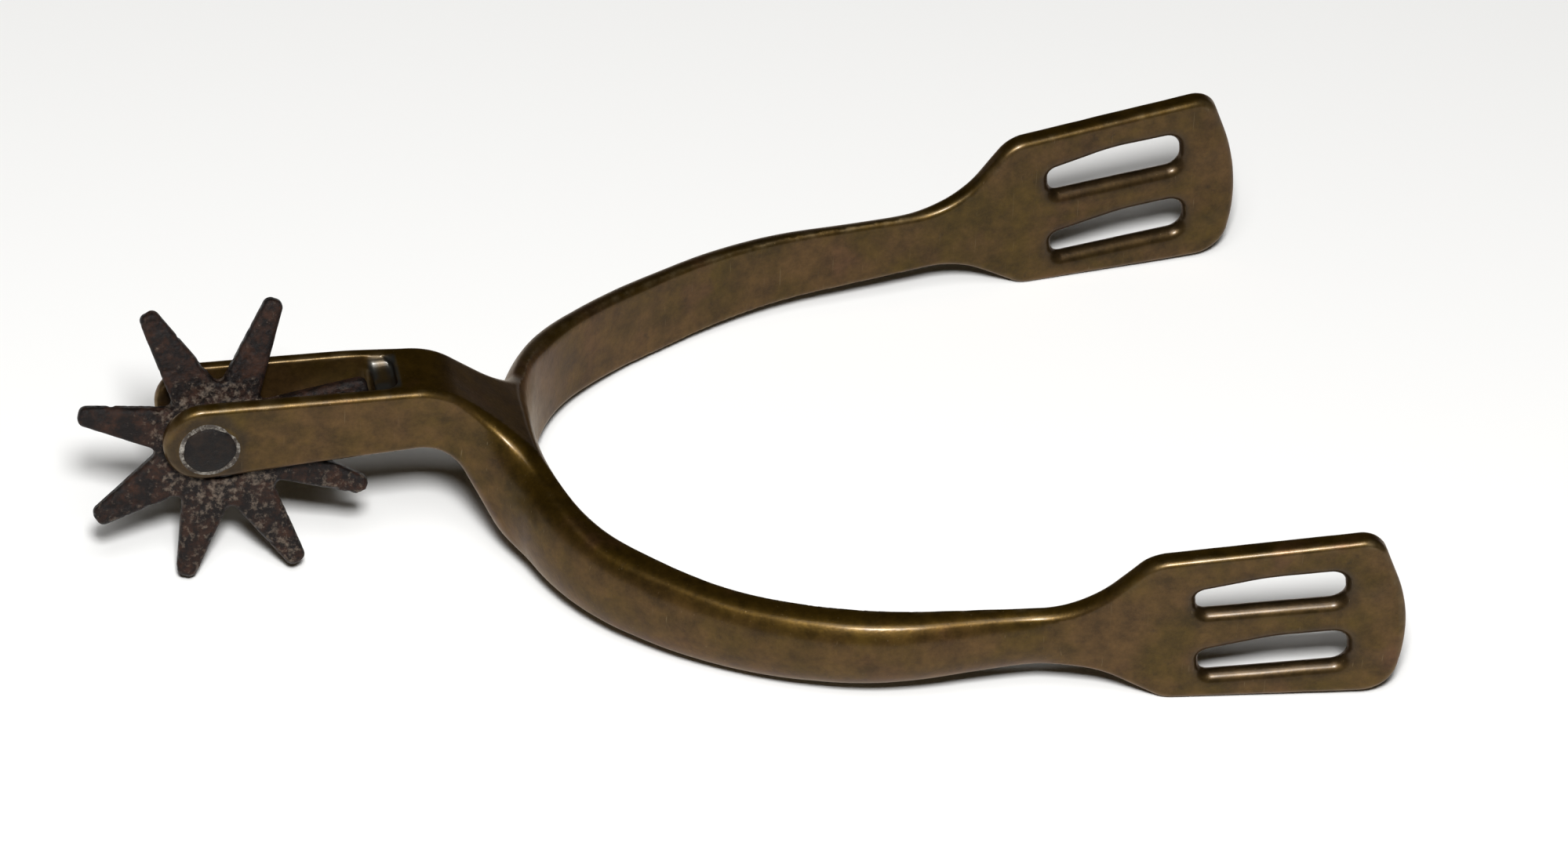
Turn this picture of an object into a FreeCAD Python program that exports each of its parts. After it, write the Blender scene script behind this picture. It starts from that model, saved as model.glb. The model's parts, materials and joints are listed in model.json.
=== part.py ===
"""A boot spur: one brass casting, a loose eight-pointed rowel and the riveted pin it turns on.

Axes: +X points forward to the toe, +Y to the wearer's left, +Z up.  The origin is the middle of
the heel seat, where the back of the boot bears on the inside of the band.  The casting is drawn
with its strap terminals level and is then pitched about the Y axis, so that it stands the way a
spur stands on a shelf: on the rear lower corners of its terminals and on the rowel.
"""
import FreeCAD, Part
import math
import os

import Sketcher

VECTOR = FreeCAD.Vector
SHEET = "dimensions"
NODES = ("spur_body", "rowel", "rowel_pin")

# Driving dimensions, in millimetres and degrees.
DIMENSIONS = (
    ("stance_pitch", 5.4, "nose-up pitch of the casting as it stands"),
    ("side_block_width", 110.0, "width of the block that has the casting's outline from the side"),
    ("blank_height", 72.0, "height of the blanks that the outline from the side trims"),
    ("neck_blank_rear", 53.0, "rear end of the neck's blank, behind the heel seat"),
    ("shank_width", 9.8, "width of the neck and fork across both cheeks"),
    ("neck_blend", 5.0, "radius between the neck and the band, seen from above"),
    ("fork_gap", 6.2, "clear width between the cheeks"),
    ("fork_root", 15.6, "distance from the heel seat back to the root of the fork"),
    ("fork_root_round", 1.2, "radius in the corners of the fork root"),
    ("strap_slot_length", 18.8, "length of a strap slot"),
    ("strap_slot_width", 5.4, "width of a strap slot"),
    ("strap_slot_front", 88.9, "front end of the strap slots, forward of the heel seat"),
    ("strap_slot_rise", 4.7, "strap slot above or below the middle of its terminal"),
    ("terminal_drop", 6.6, "middle of the terminals below the heel seat"),
    ("band_crown", 1.5, "rounding along the outside of the band and arms"),
    ("edge_round", 0.6, "rounding of the casting's other edges"),
    ("pin_reach", 38.6, "rowel pin behind the heel seat"),
    ("pin_rise", 11.7, "rowel pin above the heel seat"),
    ("pin_radius", 1.5, "radius of the pin between its heads"),
    ("head_radius", 3.2, "radius of the pin's peened heads"),
    ("head_height", 0.5, "height of a head outside the cheek"),
    ("head_round", 0.3, "rounding of a head's rim"),
    ("sink_depth", 0.3, "depth of the sinking that a head sits in"),
    ("rowel_radius", 17.75, "rowel axis to the tips of its points"),
    ("rowel_hub_radius", 7.3, "radius of the solid middle of the rowel"),
    ("rowel_root_width", 5.5, "width of a point where it leaves the hub"),
    ("rowel_root_sink", 0.5, "depth inside the hub's rim at which a point starts to taper"),
    ("rowel_tip_width", 2.2, "width of a point at its blunt tip"),
    ("rowel_tip_round", 0.8, "rounding at the corners of a tip"),
    ("rowel_hole_radius", 4.4, "worn hole in the middle of the rowel"),
    ("rowel_thickness", 2.2, "thickness of the rowel"),
    ("rowel_points", 8, "number of points on the rowel"),
    ("rowel_turn", 23.85, "turn of the rowel about its own axis"),
    ("rowel_flop", 18.0, "sideways lean of the loose rowel on its pin"),
    ("rowel_slack_forward", 1.5, "rowel axis forward of the pin"),
    ("rowel_slack_down", 1.8, "rowel axis below the pin"),
    ("rowel_slack_side", 0.9, "rowel middle to the right of the casting's middle"),
)

# The casting seen from the side: corner, forward, up, and the radius that rounds the corner.
SIDE_OUTLINE = (
    ("fork_end_top", -43.9, 17.8, 4.9),
    ("neck_top", -10.8, 15.0, 9.0),
    ("band_top", 5.0, 1.3, 20.0),
    ("arm_top", 57.0, -2.9, 14.0),
    ("shoulder_top", 66.2, 4.2, 2.5),
    ("nose_top", 92.4, 5.0, 2.2),
    ("nose", 95.8, -7.5, 24.0),
    ("nose_bottom", 92.9, -18.3, 4.5),
    ("shoulder_bottom", 66.5, -16.7, 4.0),
    ("arm_bottom", 57.0, -11.1, 14.0),
    ("band_bottom", 20.0, -11.5, 40.0),
    ("heel_bottom", -5.6, -6.8, 2.0),
    ("neck_bottom", -10.8, 6.6, 6.0),
    ("fork_end_bottom", -43.9, 7.3, 4.9),
)

# The left half of the band seen from above, from the heel round the inside to the front and back
# along the outside: corner, forward, outward, and the radius that rounds the corner.
PLAN_OUTLINE = (
    ("heel_inside", 0.0, 14.5, 28.5),
    ("side_inside", 23.5, 35.9, 55.0),
    ("front_inside", 97.0, 43.4, 0.0),
    ("front_outside", 97.0, 46.2, 0.0),
    ("shoulder_outside", 67.0, 43.15, 20.0),
    ("arm_outside", 53.0, 44.3, 30.0),
    ("side_outside", 21.2, 41.1, 60.0),
    ("heel_outside", -5.4, 16.9, 33.0),
)

# The stretch of the casting, forward of the heel seat, whose outer edges get the band's crown.
CROWN_START = -12.0
CROWN_END = 60.0
CROWN_NECK = 4.5

# Two faces that meet at more than this angle, in radians, have a sharp edge between them.
SHARP_ANGLE = 0.3
# A middle point within this distance, in millimetres, of a place is at that place.
SAME_PLACE = 0.02
# A unit direction whose component along an axis is within this of one, or of nothing, lies
# along that axis, or square to it.
SAME_WAY = 0.02
# A wall whose outward normal leans back by more than this faces the rear.
FACES_REAR = 0.3


def add_sheet(document):
    """Put every driving dimension in a spreadsheet cell with an alias."""
    sheet = document.addObject("Spreadsheet::Sheet", SHEET)
    rows = list(DIMENSIONS)
    for outline, second in ((SIDE_OUTLINE, "up"), (PLAN_OUTLINE, "out")):
        for corner, forward, across, rounding in outline:
            rows.append((corner + "_forward", forward, "corner, forward"))
            rows.append((corner + "_" + second, across, "corner, " + second))
            if rounding:
                rows.append((corner + "_round", rounding, "corner, rounding radius"))
    for number, (alias, value, meaning) in enumerate(rows, start=1):
        sheet.set("A" + str(number), meaning)
        sheet.set("B" + str(number), str(value))
        sheet.setAlias("B" + str(number), alias)
    document.recompute()
    return sheet


def cell(alias):
    """The expression that reads one cell of the sheet."""
    return SHEET + "." + alias


def new_body(document, name):
    """Start a body whose label names its sub-part."""
    body = document.addObject("PartDesign::Body", name)
    body.Label = name
    return body


def origin_item(body, role):
    """One of the body's own origin planes or axes."""
    return [item for item in body.Origin.OriginFeatures if item.Role == role][0]


def new_sketch(body, name, plane):
    """Start a sketch on one of the body's own origin planes."""
    sketch = body.newObject("Sketcher::SketchObject", name)
    sketch.AttachmentSupport = [(origin_item(body, plane), "")]
    sketch.MapMode = "FlatFace"
    return sketch


def constrain(sketch, name, constraint, formula):
    """Add a named constraint and tie its value to a formula of the sheet's cells."""
    index = sketch.addConstraint(constraint)
    sketch.renameConstraint(index, name)
    sketch.setExpression("Constraints." + name, formula)


def place_point(sketch, geometry, end, name, place, formulas):
    """Fix one sketch point at two distances, x and y, from the sketch's origin."""
    for axis, value, formula in zip("XY", place, formulas):
        constraint = Sketcher.Constraint("Distance" + axis, -1, 1, geometry, end, value)
        constrain(sketch, name + axis, constraint, formula)


def draw_polygon(sketch, corners):
    """Draw a closed polygon of (name, (x, y), (x formula, y formula)) corners."""
    count = len(corners)
    for number, (name, place, formulas) in enumerate(corners):
        follower = corners[(number + 1) % count][1]
        line = Part.LineSegment(VECTOR(*place, 0), VECTOR(*follower, 0))
        sketch.addGeometry(line, False)
    for number in range(count):
        follower = (number + 1) % count
        sketch.addConstraint(Sketcher.Constraint("Coincident", number, 2, follower, 1))
    for number, (name, place, formulas) in enumerate(corners):
        place_point(sketch, number, 1, name, place, formulas)


def draw_circle(sketch, name, place, radius, place_formulas, radius_formula):
    """Draw one circle whose middle and radius follow formulas."""
    circle = sketch.addGeometry(Part.Circle(VECTOR(*place, 0), VECTOR(0, 0, 1), radius), False)
    constrain(sketch, name + "_radius", Sketcher.Constraint("Radius", circle, radius), radius_formula)
    place_point(sketch, circle, 3, name, place, place_formulas)


def pad(body, sketch, name, formula):
    """Pad a sketch evenly to both sides of its plane."""
    feature = body.newObject("PartDesign::Pad", name)
    feature.Profile = sketch
    feature.Midplane = True
    feature.setExpression("Length", formula)
    body.Document.recompute()
    return feature


def pocket(body, sketch, name, formula="", backwards=False):
    """Cut a sketch into the body to a depth, or right through both ways, and prove that it cut."""
    before = body.Shape.Volume
    feature = body.newObject("PartDesign::Pocket", name)
    feature.Profile = sketch
    if formula:
        feature.Reversed = backwards
        feature.setExpression("Length", formula)
    else:
        feature.Type = "ThroughAll"
        feature.Midplane = True
    body.Document.recompute()
    if body.Shape.Volume >= before:
        raise RuntimeError(name + " cut nothing")


def round_edges(body, name, wanted, formula):
    """Fillet the edges of the body whose own middle satisfies a test."""
    base = body.Tip
    names = []
    for number, edge in enumerate(base.Shape.Edges, start=1):
        middle = edge.valueAt((edge.FirstParameter + edge.LastParameter) / 2)
        if wanted(edge, middle):
            names.append("Edge" + str(number))
    feature = body.newObject("PartDesign::Fillet", name)
    feature.Base = (base, names)
    feature.setExpression("Radius", formula)
    body.Document.recompute()


def straight_edge_at(place, flatten):
    """Test for straight edges whose middle, flattened to two numbers, is at a place."""
    def wanted(edge, middle):
        first, second = flatten(middle)
        near = math.hypot(first - place[0], second - place[1]) < SAME_PLACE
        return near and isinstance(edge.Curve, Part.Line)
    return wanted


def from_side(point):
    """A point as it is seen from the side: forward and up."""
    return point.x, point.z


def from_above(point):
    """A point of either half as it is seen from above: forward and outward."""
    return point.x, abs(point.y)


def face_normals(shape, edge, point):
    """Outward normals, at a point, of the faces that share an edge."""
    normals = []
    for face in shape.ancestorsOfType(edge, Part.Face):
        across, along = face.Surface.parameter(point)
        normals.append(face.normalAt(across, along))
    return normals


def sharp_edge(shape):
    """Test for edges where two faces meet at a clear angle."""
    def wanted(edge, middle):
        normals = face_normals(shape, edge, middle)
        return len(normals) == 2 and normals[0].getAngle(normals[1]) > SHARP_ANGLE
    return wanted


def crown_edge(shape):
    """Test for the sharp edges along the outside of the band and arms."""
    sharp = sharp_edge(shape)

    def wanted(edge, middle):
        on_neck = abs(middle.y) < CROWN_NECK and middle.x < 0
        if on_neck or not CROWN_START < middle.x < CROWN_END or not sharp(edge, middle):
            return False
        walls = [normal for normal in face_normals(shape, edge, middle) if abs(normal.z) < SAME_WAY]
        return any(wall.y * middle.y > 0 or wall.x < -FACES_REAR for wall in walls)
    return wanted


def build_side_block(document):
    """The casting's outline from the side, padded right across and rounded at its corners."""
    body = new_body(document, "side_block")
    sketch = new_sketch(body, "side_outline", "XZ_Plane")
    corners = []
    for name, forward, up, rounding in SIDE_OUTLINE:
        corners.append((name, (forward, up), (cell(name + "_forward"), cell(name + "_up"))))
    draw_polygon(sketch, corners)
    pad(body, sketch, "side_pad", cell("side_block_width"))
    for name, forward, up, rounding in SIDE_OUTLINE:
        wanted = straight_edge_at((forward, up), from_side)
        round_edges(body, name + "_fillet", wanted, cell(name + "_round"))
    return body


def pad_band(body, depth):
    """Pad the band, arms and terminals from their outline seen from above."""
    plan = new_sketch(body, "band_plan", "XY_Plane")
    left = []
    right = []
    for name, forward, out, rounding in PLAN_OUTLINE:
        forward_formula = cell(name + "_forward")
        out_formula = cell(name + "_out")
        left.append(("left_" + name, (forward, out), (forward_formula, out_formula)))
        right.append(("right_" + name, (forward, -out), (forward_formula, "-" + out_formula)))
    draw_polygon(plan, left + right[::-1])
    pad(body, plan, "band_pad", depth)
    for name, forward, out, rounding in PLAN_OUTLINE:
        if rounding:
            wanted = straight_edge_at((forward, out), from_above)
            round_edges(body, name + "_fillet", wanted, cell(name + "_round"))


def draw_bar(sketch, sheet, width, rear, front):
    """Draw a rectangle along the X axis; rear and front are (x, x formula) pairs."""
    half = sheet.get(width) / 2
    half_formula = cell(width) + " / 2"
    corners = []
    ends = (("rear_right", rear, -1), ("front_right", front, -1),
            ("front_left", front, 1), ("rear_left", rear, 1))
    for name, (forward, forward_formula), hand in ends:
        out_formula = str(hand) + " * " + half_formula
        corners.append((name, (forward, hand * half), (forward_formula, out_formula)))
    draw_polygon(sketch, corners)


def pad_neck(body, sheet, depth):
    """Pad the neck and fork, and blend them into the back of the band."""
    sketch = new_sketch(body, "neck_plan", "XY_Plane")
    rear = (-sheet.get("neck_blank_rear"), "-" + cell("neck_blank_rear"))
    front = (sheet.get("heel_outside_forward") / 2, cell("heel_outside_forward") + " / 2")
    draw_bar(sketch, sheet, "shank_width", rear, front)
    pad(body, sketch, "neck_pad", depth)
    half = sheet.get("shank_width") / 2

    def neck_corner(edge, middle):
        upright = isinstance(edge.Curve, Part.Line) and abs(edge.Curve.Direction.z) > 1 - SAME_WAY
        beside_neck = abs(abs(middle.y) - half) < SAME_PLACE
        return upright and beside_neck and middle.x > sheet.get("fork_end_top_forward")

    round_edges(body, "neck_blend_fillet", neck_corner, cell("neck_blend"))


def cut_fork(body, sheet):
    """Cut the gap between the cheeks, open above, below and behind."""
    sketch = new_sketch(body, "fork_plan", "XY_Plane")
    rear = (-sheet.get("neck_blank_rear"), "-" + cell("neck_blank_rear"))
    root = (-sheet.get("fork_root"), "-" + cell("fork_root"))
    draw_bar(sketch, sheet, "fork_gap", rear, root)
    pocket(body, sketch, "fork_pocket")
    corner = (root[0], sheet.get("fork_gap") / 2)
    round_edges(body, "fork_root_fillet", straight_edge_at(corner, from_above), cell("fork_root_round"))


def draw_strap_slot(sketch, sheet, name, side):
    """Draw one round-ended strap slot, above (1) or below (-1) the middle of the terminal."""
    radius = sheet.get("strap_slot_width") / 2
    front = sheet.get("strap_slot_front") - radius
    rear = sheet.get("strap_slot_front") - sheet.get("strap_slot_length") + radius
    middle = side * sheet.get("strap_slot_rise") - sheet.get("terminal_drop")
    radius_formula = cell("strap_slot_width") + " / 2"
    front_formula = cell("strap_slot_front") + " - " + radius_formula
    rear_formula = cell("strap_slot_front") + " - " + cell("strap_slot_length") + " + " + radius_formula
    middle_formula = str(side) + " * " + cell("strap_slot_rise") + " - " + cell("terminal_drop")
    rear_arc = len(sketch.Geometry)
    front_arc = rear_arc + 1
    for end, forward, formula, start in (("rear", rear, rear_formula, math.pi / 2),
                                         ("front", front, front_formula, -math.pi / 2)):
        circle = Part.Circle(VECTOR(forward, middle, 0), VECTOR(0, 0, 1), radius)
        arc = sketch.addGeometry(Part.ArcOfCircle(circle, start, start + math.pi), False)
        place_point(sketch, arc, 3, name + end, (forward, middle), (formula, middle_formula))
    for edge, rear_end, front_end in ((1, 1, 2), (-1, 2, 1)):
        height = middle + edge * radius
        line = sketch.addGeometry(
            Part.LineSegment(VECTOR(rear, height, 0), VECTOR(front, height, 0)), False)
        sketch.addConstraint(Sketcher.Constraint("Tangent", rear_arc, rear_end, line, 1))
        sketch.addConstraint(Sketcher.Constraint("Tangent", front_arc, front_end, line, 2))
    constraint = Sketcher.Constraint("Radius", rear_arc, radius)
    constrain(sketch, name + "_radius", constraint, radius_formula)


def cut_strap_slots(body, sheet):
    """Cut the two strap slots through both terminals at once."""
    sketch = new_sketch(body, "strap_slot_outline", "XZ_Plane")
    draw_strap_slot(sketch, sheet, "upper", 1)
    draw_strap_slot(sketch, sheet, "lower", -1)
    pocket(body, sketch, "strap_slot_pocket")


def cut_pin_seats(body, sheet):
    """Cut the pin's hole through both cheeks, and a shallow sinking for each head."""
    place = (-sheet.get("pin_reach"), sheet.get("pin_rise"))
    formulas = ("-" + cell("pin_reach"), cell("pin_rise"))
    hole = new_sketch(body, "pin_hole_outline", "XZ_Plane")
    draw_circle(hole, "hole", place, sheet.get("pin_radius"), formulas, cell("pin_radius"))
    pocket(body, hole, "pin_hole_pocket")
    for name, side, backwards in (("right", 1, False), ("left", -1, True)):
        sink = new_sketch(body, name + "_sink_outline", "XZ_Plane")
        offset = str(side) + " * " + cell("shank_width") + " / 2"
        sink.setExpression("AttachmentOffset.Base.z", offset)
        draw_circle(sink, "sink", place, sheet.get("head_radius"), formulas, cell("head_radius"))
        body.Document.recompute()
        pocket(body, sink, name + "_sink_pocket", cell("sink_depth"), backwards)


def build_casting(document, sheet):
    """Heel band, arms, strap terminals, neck and fork as one brass casting."""
    side = build_side_block(document)
    body = new_body(document, "spur_body")
    pad_band(body, cell("blank_height"))
    pad_neck(body, sheet, cell("blank_height"))
    common = body.newObject("PartDesign::Boolean", "side_common")
    common.setObjects([side])
    common.Type = "Common"
    document.recompute()
    cut_fork(body, sheet)
    cut_strap_slots(body, sheet)
    round_edges(body, "crown_fillet", crown_edge(body.Tip.Shape), cell("band_crown"))
    round_edges(body, "edge_fillet", sharp_edge(body.Tip.Shape), cell("edge_round"))
    cut_pin_seats(body, sheet)
    return body


def build_rowel(document, sheet):
    """The rowel: a worn ring with blunt tapering points, drawn about its own axis."""
    body = new_body(document, "rowel")
    ring = new_sketch(body, "ring_outline", "XZ_Plane")
    centre = (0.0, 0.0)
    draw_circle(ring, "hub", centre, sheet.get("rowel_hub_radius"), ("0", "0"),
                cell("rowel_hub_radius"))
    pad(body, ring, "ring_pad", cell("rowel_thickness"))

    point = new_sketch(body, "point_outline", "XZ_Plane")
    base = sheet.get("rowel_hole_radius")
    levels = (
        ("base", base, sheet.get("rowel_root_width"),
         cell("rowel_hole_radius"), cell("rowel_root_width")),
        ("root", sheet.get("rowel_hub_radius") - sheet.get("rowel_root_sink"),
         sheet.get("rowel_root_width"),
         cell("rowel_hub_radius") + " - " + cell("rowel_root_sink"), cell("rowel_root_width")),
        ("tip", sheet.get("rowel_radius"), sheet.get("rowel_tip_width"),
         cell("rowel_radius"), cell("rowel_tip_width")),
    )
    right = []
    left = []
    for name, up, width, up_formula, width_formula in levels:
        right.append((name + "_right", (width / 2, up), (width_formula + " / 2", up_formula)))
        left.append((name + "_left", (-width / 2, up), ("-" + width_formula + " / 2", up_formula)))
    draw_polygon(point, right + left[::-1])
    point_pad = pad(body, point, "point_pad", cell("rowel_thickness"))

    ring_of_points = body.newObject("PartDesign::PolarPattern", "point_pattern")
    ring_of_points.Originals = [point_pad]
    ring_of_points.Axis = (origin_item(body, "Y_Axis"), [""])
    ring_of_points.Angle = 360
    ring_of_points.setExpression("Occurrences", cell("rowel_points"))
    body.Tip = ring_of_points
    document.recompute()

    hole = new_sketch(body, "hole_outline", "XZ_Plane")
    draw_circle(hole, "worn_hole", centre, sheet.get("rowel_hole_radius"), ("0", "0"),
                cell("rowel_hole_radius"))
    pocket(body, hole, "hole_pocket")
    tip_corner = math.hypot(sheet.get("rowel_radius"), sheet.get("rowel_tip_width") / 2)

    def at_tip(edge, middle):
        across = isinstance(edge.Curve, Part.Line) and abs(edge.Curve.Direction.y) > 1 - SAME_WAY
        return across and abs(math.hypot(middle.x, middle.z) - tip_corner) < SAME_PLACE

    round_edges(body, "tip_fillet", at_tip, cell("rowel_tip_round"))
    return body


def build_pin(document, sheet):
    """The rowel's pin: a plain rivet with a low peened head outside each cheek."""
    body = new_body(document, "rowel_pin")
    half_width = cell("shank_width") + " / 2"
    shank = new_sketch(body, "pin_outline", "XZ_Plane")
    draw_circle(shank, "pin", (0.0, 0.0), sheet.get("pin_radius"), ("0", "0"), cell("pin_radius"))
    pad(body, shank, "pin_pad", cell("shank_width") + " - " + cell("sink_depth"))
    for name, side, backwards in (("right", 1, False), ("left", -1, True)):
        head = new_sketch(body, name + "_head_outline", "XZ_Plane")
        seat = str(side) + " * (" + half_width + " - " + cell("sink_depth") + ")"
        head.setExpression("AttachmentOffset.Base.z", seat)
        draw_circle(head, "head", (0.0, 0.0), sheet.get("head_radius"), ("0", "0"),
                    cell("head_radius"))
        document.recompute()
        feature = body.newObject("PartDesign::Pad", name + "_head_pad")
        feature.Profile = head
        feature.Reversed = backwards
        feature.setExpression("Length", cell("head_height") + " + " + cell("sink_depth"))
        document.recompute()
    face = sheet.get("shank_width") / 2 + sheet.get("head_height")

    def head_rim(edge, middle):
        return abs(abs(middle.y) - face) < SAME_PLACE

    round_edges(body, "head_fillet", head_rim, cell("head_round"))
    return body


def stand(sheet, bodies):
    """Put the three sub-parts together and pitch them into the stance."""
    body, rowel, pin = bodies
    stance = FreeCAD.Placement(
        VECTOR(0, 0, 0), FreeCAD.Rotation(VECTOR(0, 1, 0), -sheet.get("stance_pitch")))
    pin_axis = VECTOR(-sheet.get("pin_reach"), 0, sheet.get("pin_rise"))
    slack = VECTOR(sheet.get("rowel_slack_forward"), -sheet.get("rowel_slack_side"),
                   -sheet.get("rowel_slack_down"))
    turn = FreeCAD.Rotation(VECTOR(0, 1, 0), sheet.get("rowel_turn"))
    flop = FreeCAD.Rotation(VECTOR(1, 0, 0), -sheet.get("rowel_flop"))
    body.Placement = stance
    pin.Placement = stance.multiply(FreeCAD.Placement(pin_axis, FreeCAD.Rotation()))
    rowel.Placement = stance.multiply(FreeCAD.Placement(pin_axis + slack, flop.multiply(turn)))


def check(document):
    """Stop if a feature failed or a sub-part has no sound solid."""
    for item in document.Objects:
        for flag in ("Invalid", "Error"):
            if flag in item.State:
                raise RuntimeError(item.Name + " is " + flag)
    for name in NODES:
        shape = document.getObject(name).Shape
        if shape.isNull() or not shape.isValid() or len(shape.Solids) != 1:
            raise RuntimeError(name + " is not one valid solid")


def main():
    """Build the spur, check it and write one file per sub-part."""
    document = FreeCAD.newDocument("spur")
    sheet = add_sheet(document)
    bodies = (build_casting(document, sheet), build_rowel(document, sheet),
              build_pin(document, sheet))
    stand(sheet, bodies)
    document.recompute()
    check(document)
    os.makedirs("parts", exist_ok=True)
    for name in NODES:
        document.getObject(name).Shape.exportStep("parts/" + name + ".step")


main()
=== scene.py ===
"""A boot spur of aged brass with a loose iron rowel.

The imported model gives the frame: where the spur stands, where its pin lies and which way the rowel
turns.  Lengths in this script are millimetres in the casting's own level frame, with the heel seat
at the origin, X forward, Y to the wearer's left and Z up.  The last step turns each mesh into the
stance and into metres.
"""
import json
import logging
import math
from dataclasses import dataclass, field
from enum import Enum
from typing import Callable

import bpy
import numpy as np
from mathutils import Matrix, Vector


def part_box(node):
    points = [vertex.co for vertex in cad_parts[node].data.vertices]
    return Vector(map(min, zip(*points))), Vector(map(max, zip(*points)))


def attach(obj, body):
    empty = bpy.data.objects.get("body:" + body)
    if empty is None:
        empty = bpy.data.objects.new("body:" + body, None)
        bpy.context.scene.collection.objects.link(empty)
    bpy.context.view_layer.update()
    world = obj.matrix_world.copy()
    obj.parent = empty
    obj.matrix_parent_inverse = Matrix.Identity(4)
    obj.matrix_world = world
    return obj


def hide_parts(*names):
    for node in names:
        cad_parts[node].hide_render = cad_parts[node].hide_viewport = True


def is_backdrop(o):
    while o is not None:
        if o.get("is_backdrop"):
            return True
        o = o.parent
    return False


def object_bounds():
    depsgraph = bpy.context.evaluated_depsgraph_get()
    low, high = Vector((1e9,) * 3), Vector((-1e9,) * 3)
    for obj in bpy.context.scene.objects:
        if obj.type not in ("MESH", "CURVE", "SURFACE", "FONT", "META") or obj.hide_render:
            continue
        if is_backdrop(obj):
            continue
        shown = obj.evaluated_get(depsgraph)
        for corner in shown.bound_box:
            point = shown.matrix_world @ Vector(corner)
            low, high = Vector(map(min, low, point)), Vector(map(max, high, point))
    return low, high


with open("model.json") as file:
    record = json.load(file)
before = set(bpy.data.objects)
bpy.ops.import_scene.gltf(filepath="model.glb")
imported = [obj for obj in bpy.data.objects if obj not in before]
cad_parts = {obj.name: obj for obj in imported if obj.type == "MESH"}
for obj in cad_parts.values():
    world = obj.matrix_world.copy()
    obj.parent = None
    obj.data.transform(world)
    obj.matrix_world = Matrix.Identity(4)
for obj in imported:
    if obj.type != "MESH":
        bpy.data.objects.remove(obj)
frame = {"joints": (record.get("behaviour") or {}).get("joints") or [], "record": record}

logging.basicConfig(level=logging.INFO, format="%(message)s")
LOG = logging.getLogger("spur")

METRES = 0.001
SENSOR_WIDTH = 36.0
NODE_SPACING = (220.0, 420.0)
NODES_START = -1600.0
LATTICE_PRIMES = np.array((374761393, 668265263, 2147483647))
SEED_PRIME = 974711
HASH_PRIME = 1274126177
HASH_MASK = 0x7FFFFFFF
HASH_SHIFTS = (13, 16)

TINY = 1e-9
NUDGE = 0.01
LEAST_STEEPNESS = 0.25

Field = Callable[[np.ndarray, np.ndarray, np.ndarray], np.ndarray]


class Carrier(Enum):
    """The CAD bodies that pieces ride on."""

    SPUR = "spur"
    ROWEL = "rowel"


class Slot(Enum):
    """The record's material slots."""

    BRASS = "aged_brass"
    ROWEL_IRON = "rowel_iron"
    PIN_IRON = "pin_iron"


class Side(Enum):
    """The two sides of the casting, as the sign of Y."""

    RIGHT = -1
    LEFT = 1


class Level(Enum):
    """The two strap slots of a terminal, as the sign of their height above its middle."""

    UPPER = 1
    LOWER = -1


# --- Small formulas for whole arrays ---


@dataclass(frozen=True)
class Span:
    """A stretch over which something rises smoothly from 0 to 1."""

    start: float
    end: float

    def rise(self, value: np.ndarray) -> np.ndarray:
        """How far each value has come along the stretch, eased at both ends.

        Args:
            value: Any array.

        Returns:
            3t^2 - 2t^3, with t the share of the way from start to end, held between 0 and 1.
        """
        share = np.clip((value - self.start) / (self.end - self.start), 0.0, 1.0)
        return share * share * (3.0 - 2.0 * share)


@dataclass(frozen=True)
class Wave:
    """A wave round an axis: its height, how often it repeats, where it starts and how it drifts."""

    height: float
    repeats: int
    start: float = 0.0
    drift: float = 0.0

    def at(self, angle: np.ndarray, place: np.ndarray) -> np.ndarray:
        """Height times the sine of repeats times the angle, plus the start and the drift."""
        return self.height * np.sin(self.repeats * angle + self.start + self.drift * place)


@dataclass(frozen=True)
class Relief:
    """Smooth random relief: the distance between its random values, their seed and its height."""

    grain: float
    seed: int
    height: float = 1.0

    def lattice_value(self, cell: np.ndarray) -> np.ndarray:
        """A fixed value from -1 to 1 for each whole-numbered lattice point.

        Args:
            cell: Whole numbers, three to a row.

        Returns:
            The remainder of mixed products of the three numbers, spread over -1 to 1.
        """
        mixed = cell @ LATTICE_PRIMES + self.seed * SEED_PRIME
        mixed = ((mixed ^ (mixed >> HASH_SHIFTS[0])) * HASH_PRIME) & HASH_MASK
        return (mixed ^ (mixed >> HASH_SHIFTS[1])) / float(HASH_MASK // 2) - 1.0

    def at(self, points: np.ndarray) -> np.ndarray:
        """The relief's height at each point.

        Args:
            points: Points in millimetres, three to a row.

        Returns:
            The eight values at the corners of each point's lattice cell, blended by eased shares.
        """
        scaled = points / self.grain
        cell = np.floor(scaled).astype(np.int64)
        share = scaled - cell
        share = share * share * (3.0 - 2.0 * share)
        total = np.zeros(len(points))
        for corner in np.ndindex(2, 2, 2):
            weight = np.ones(len(points))
            for axis, step in enumerate(corner):
                weight = weight * (share[:, axis] if step else 1.0 - share[:, axis])
            total += weight * self.lattice_value(cell + np.array(corner))
        return self.height * total


def round_max(first: np.ndarray, second: np.ndarray, radius: np.ndarray | float) -> np.ndarray:
    """Keep what is inside both shapes, with the edge between them rounded.

    Args:
        first: Distance outside the first shape.
        second: Distance outside the second shape.
        radius: Radius of the rounded edge.

    Returns:
        The larger distance, but near the edge the distance to a circle of that radius.
    """
    corner = np.hypot(np.maximum(first + radius, 0.0), np.maximum(second + radius, 0.0))
    return np.minimum(-radius, np.maximum(first, second)) + corner


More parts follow.
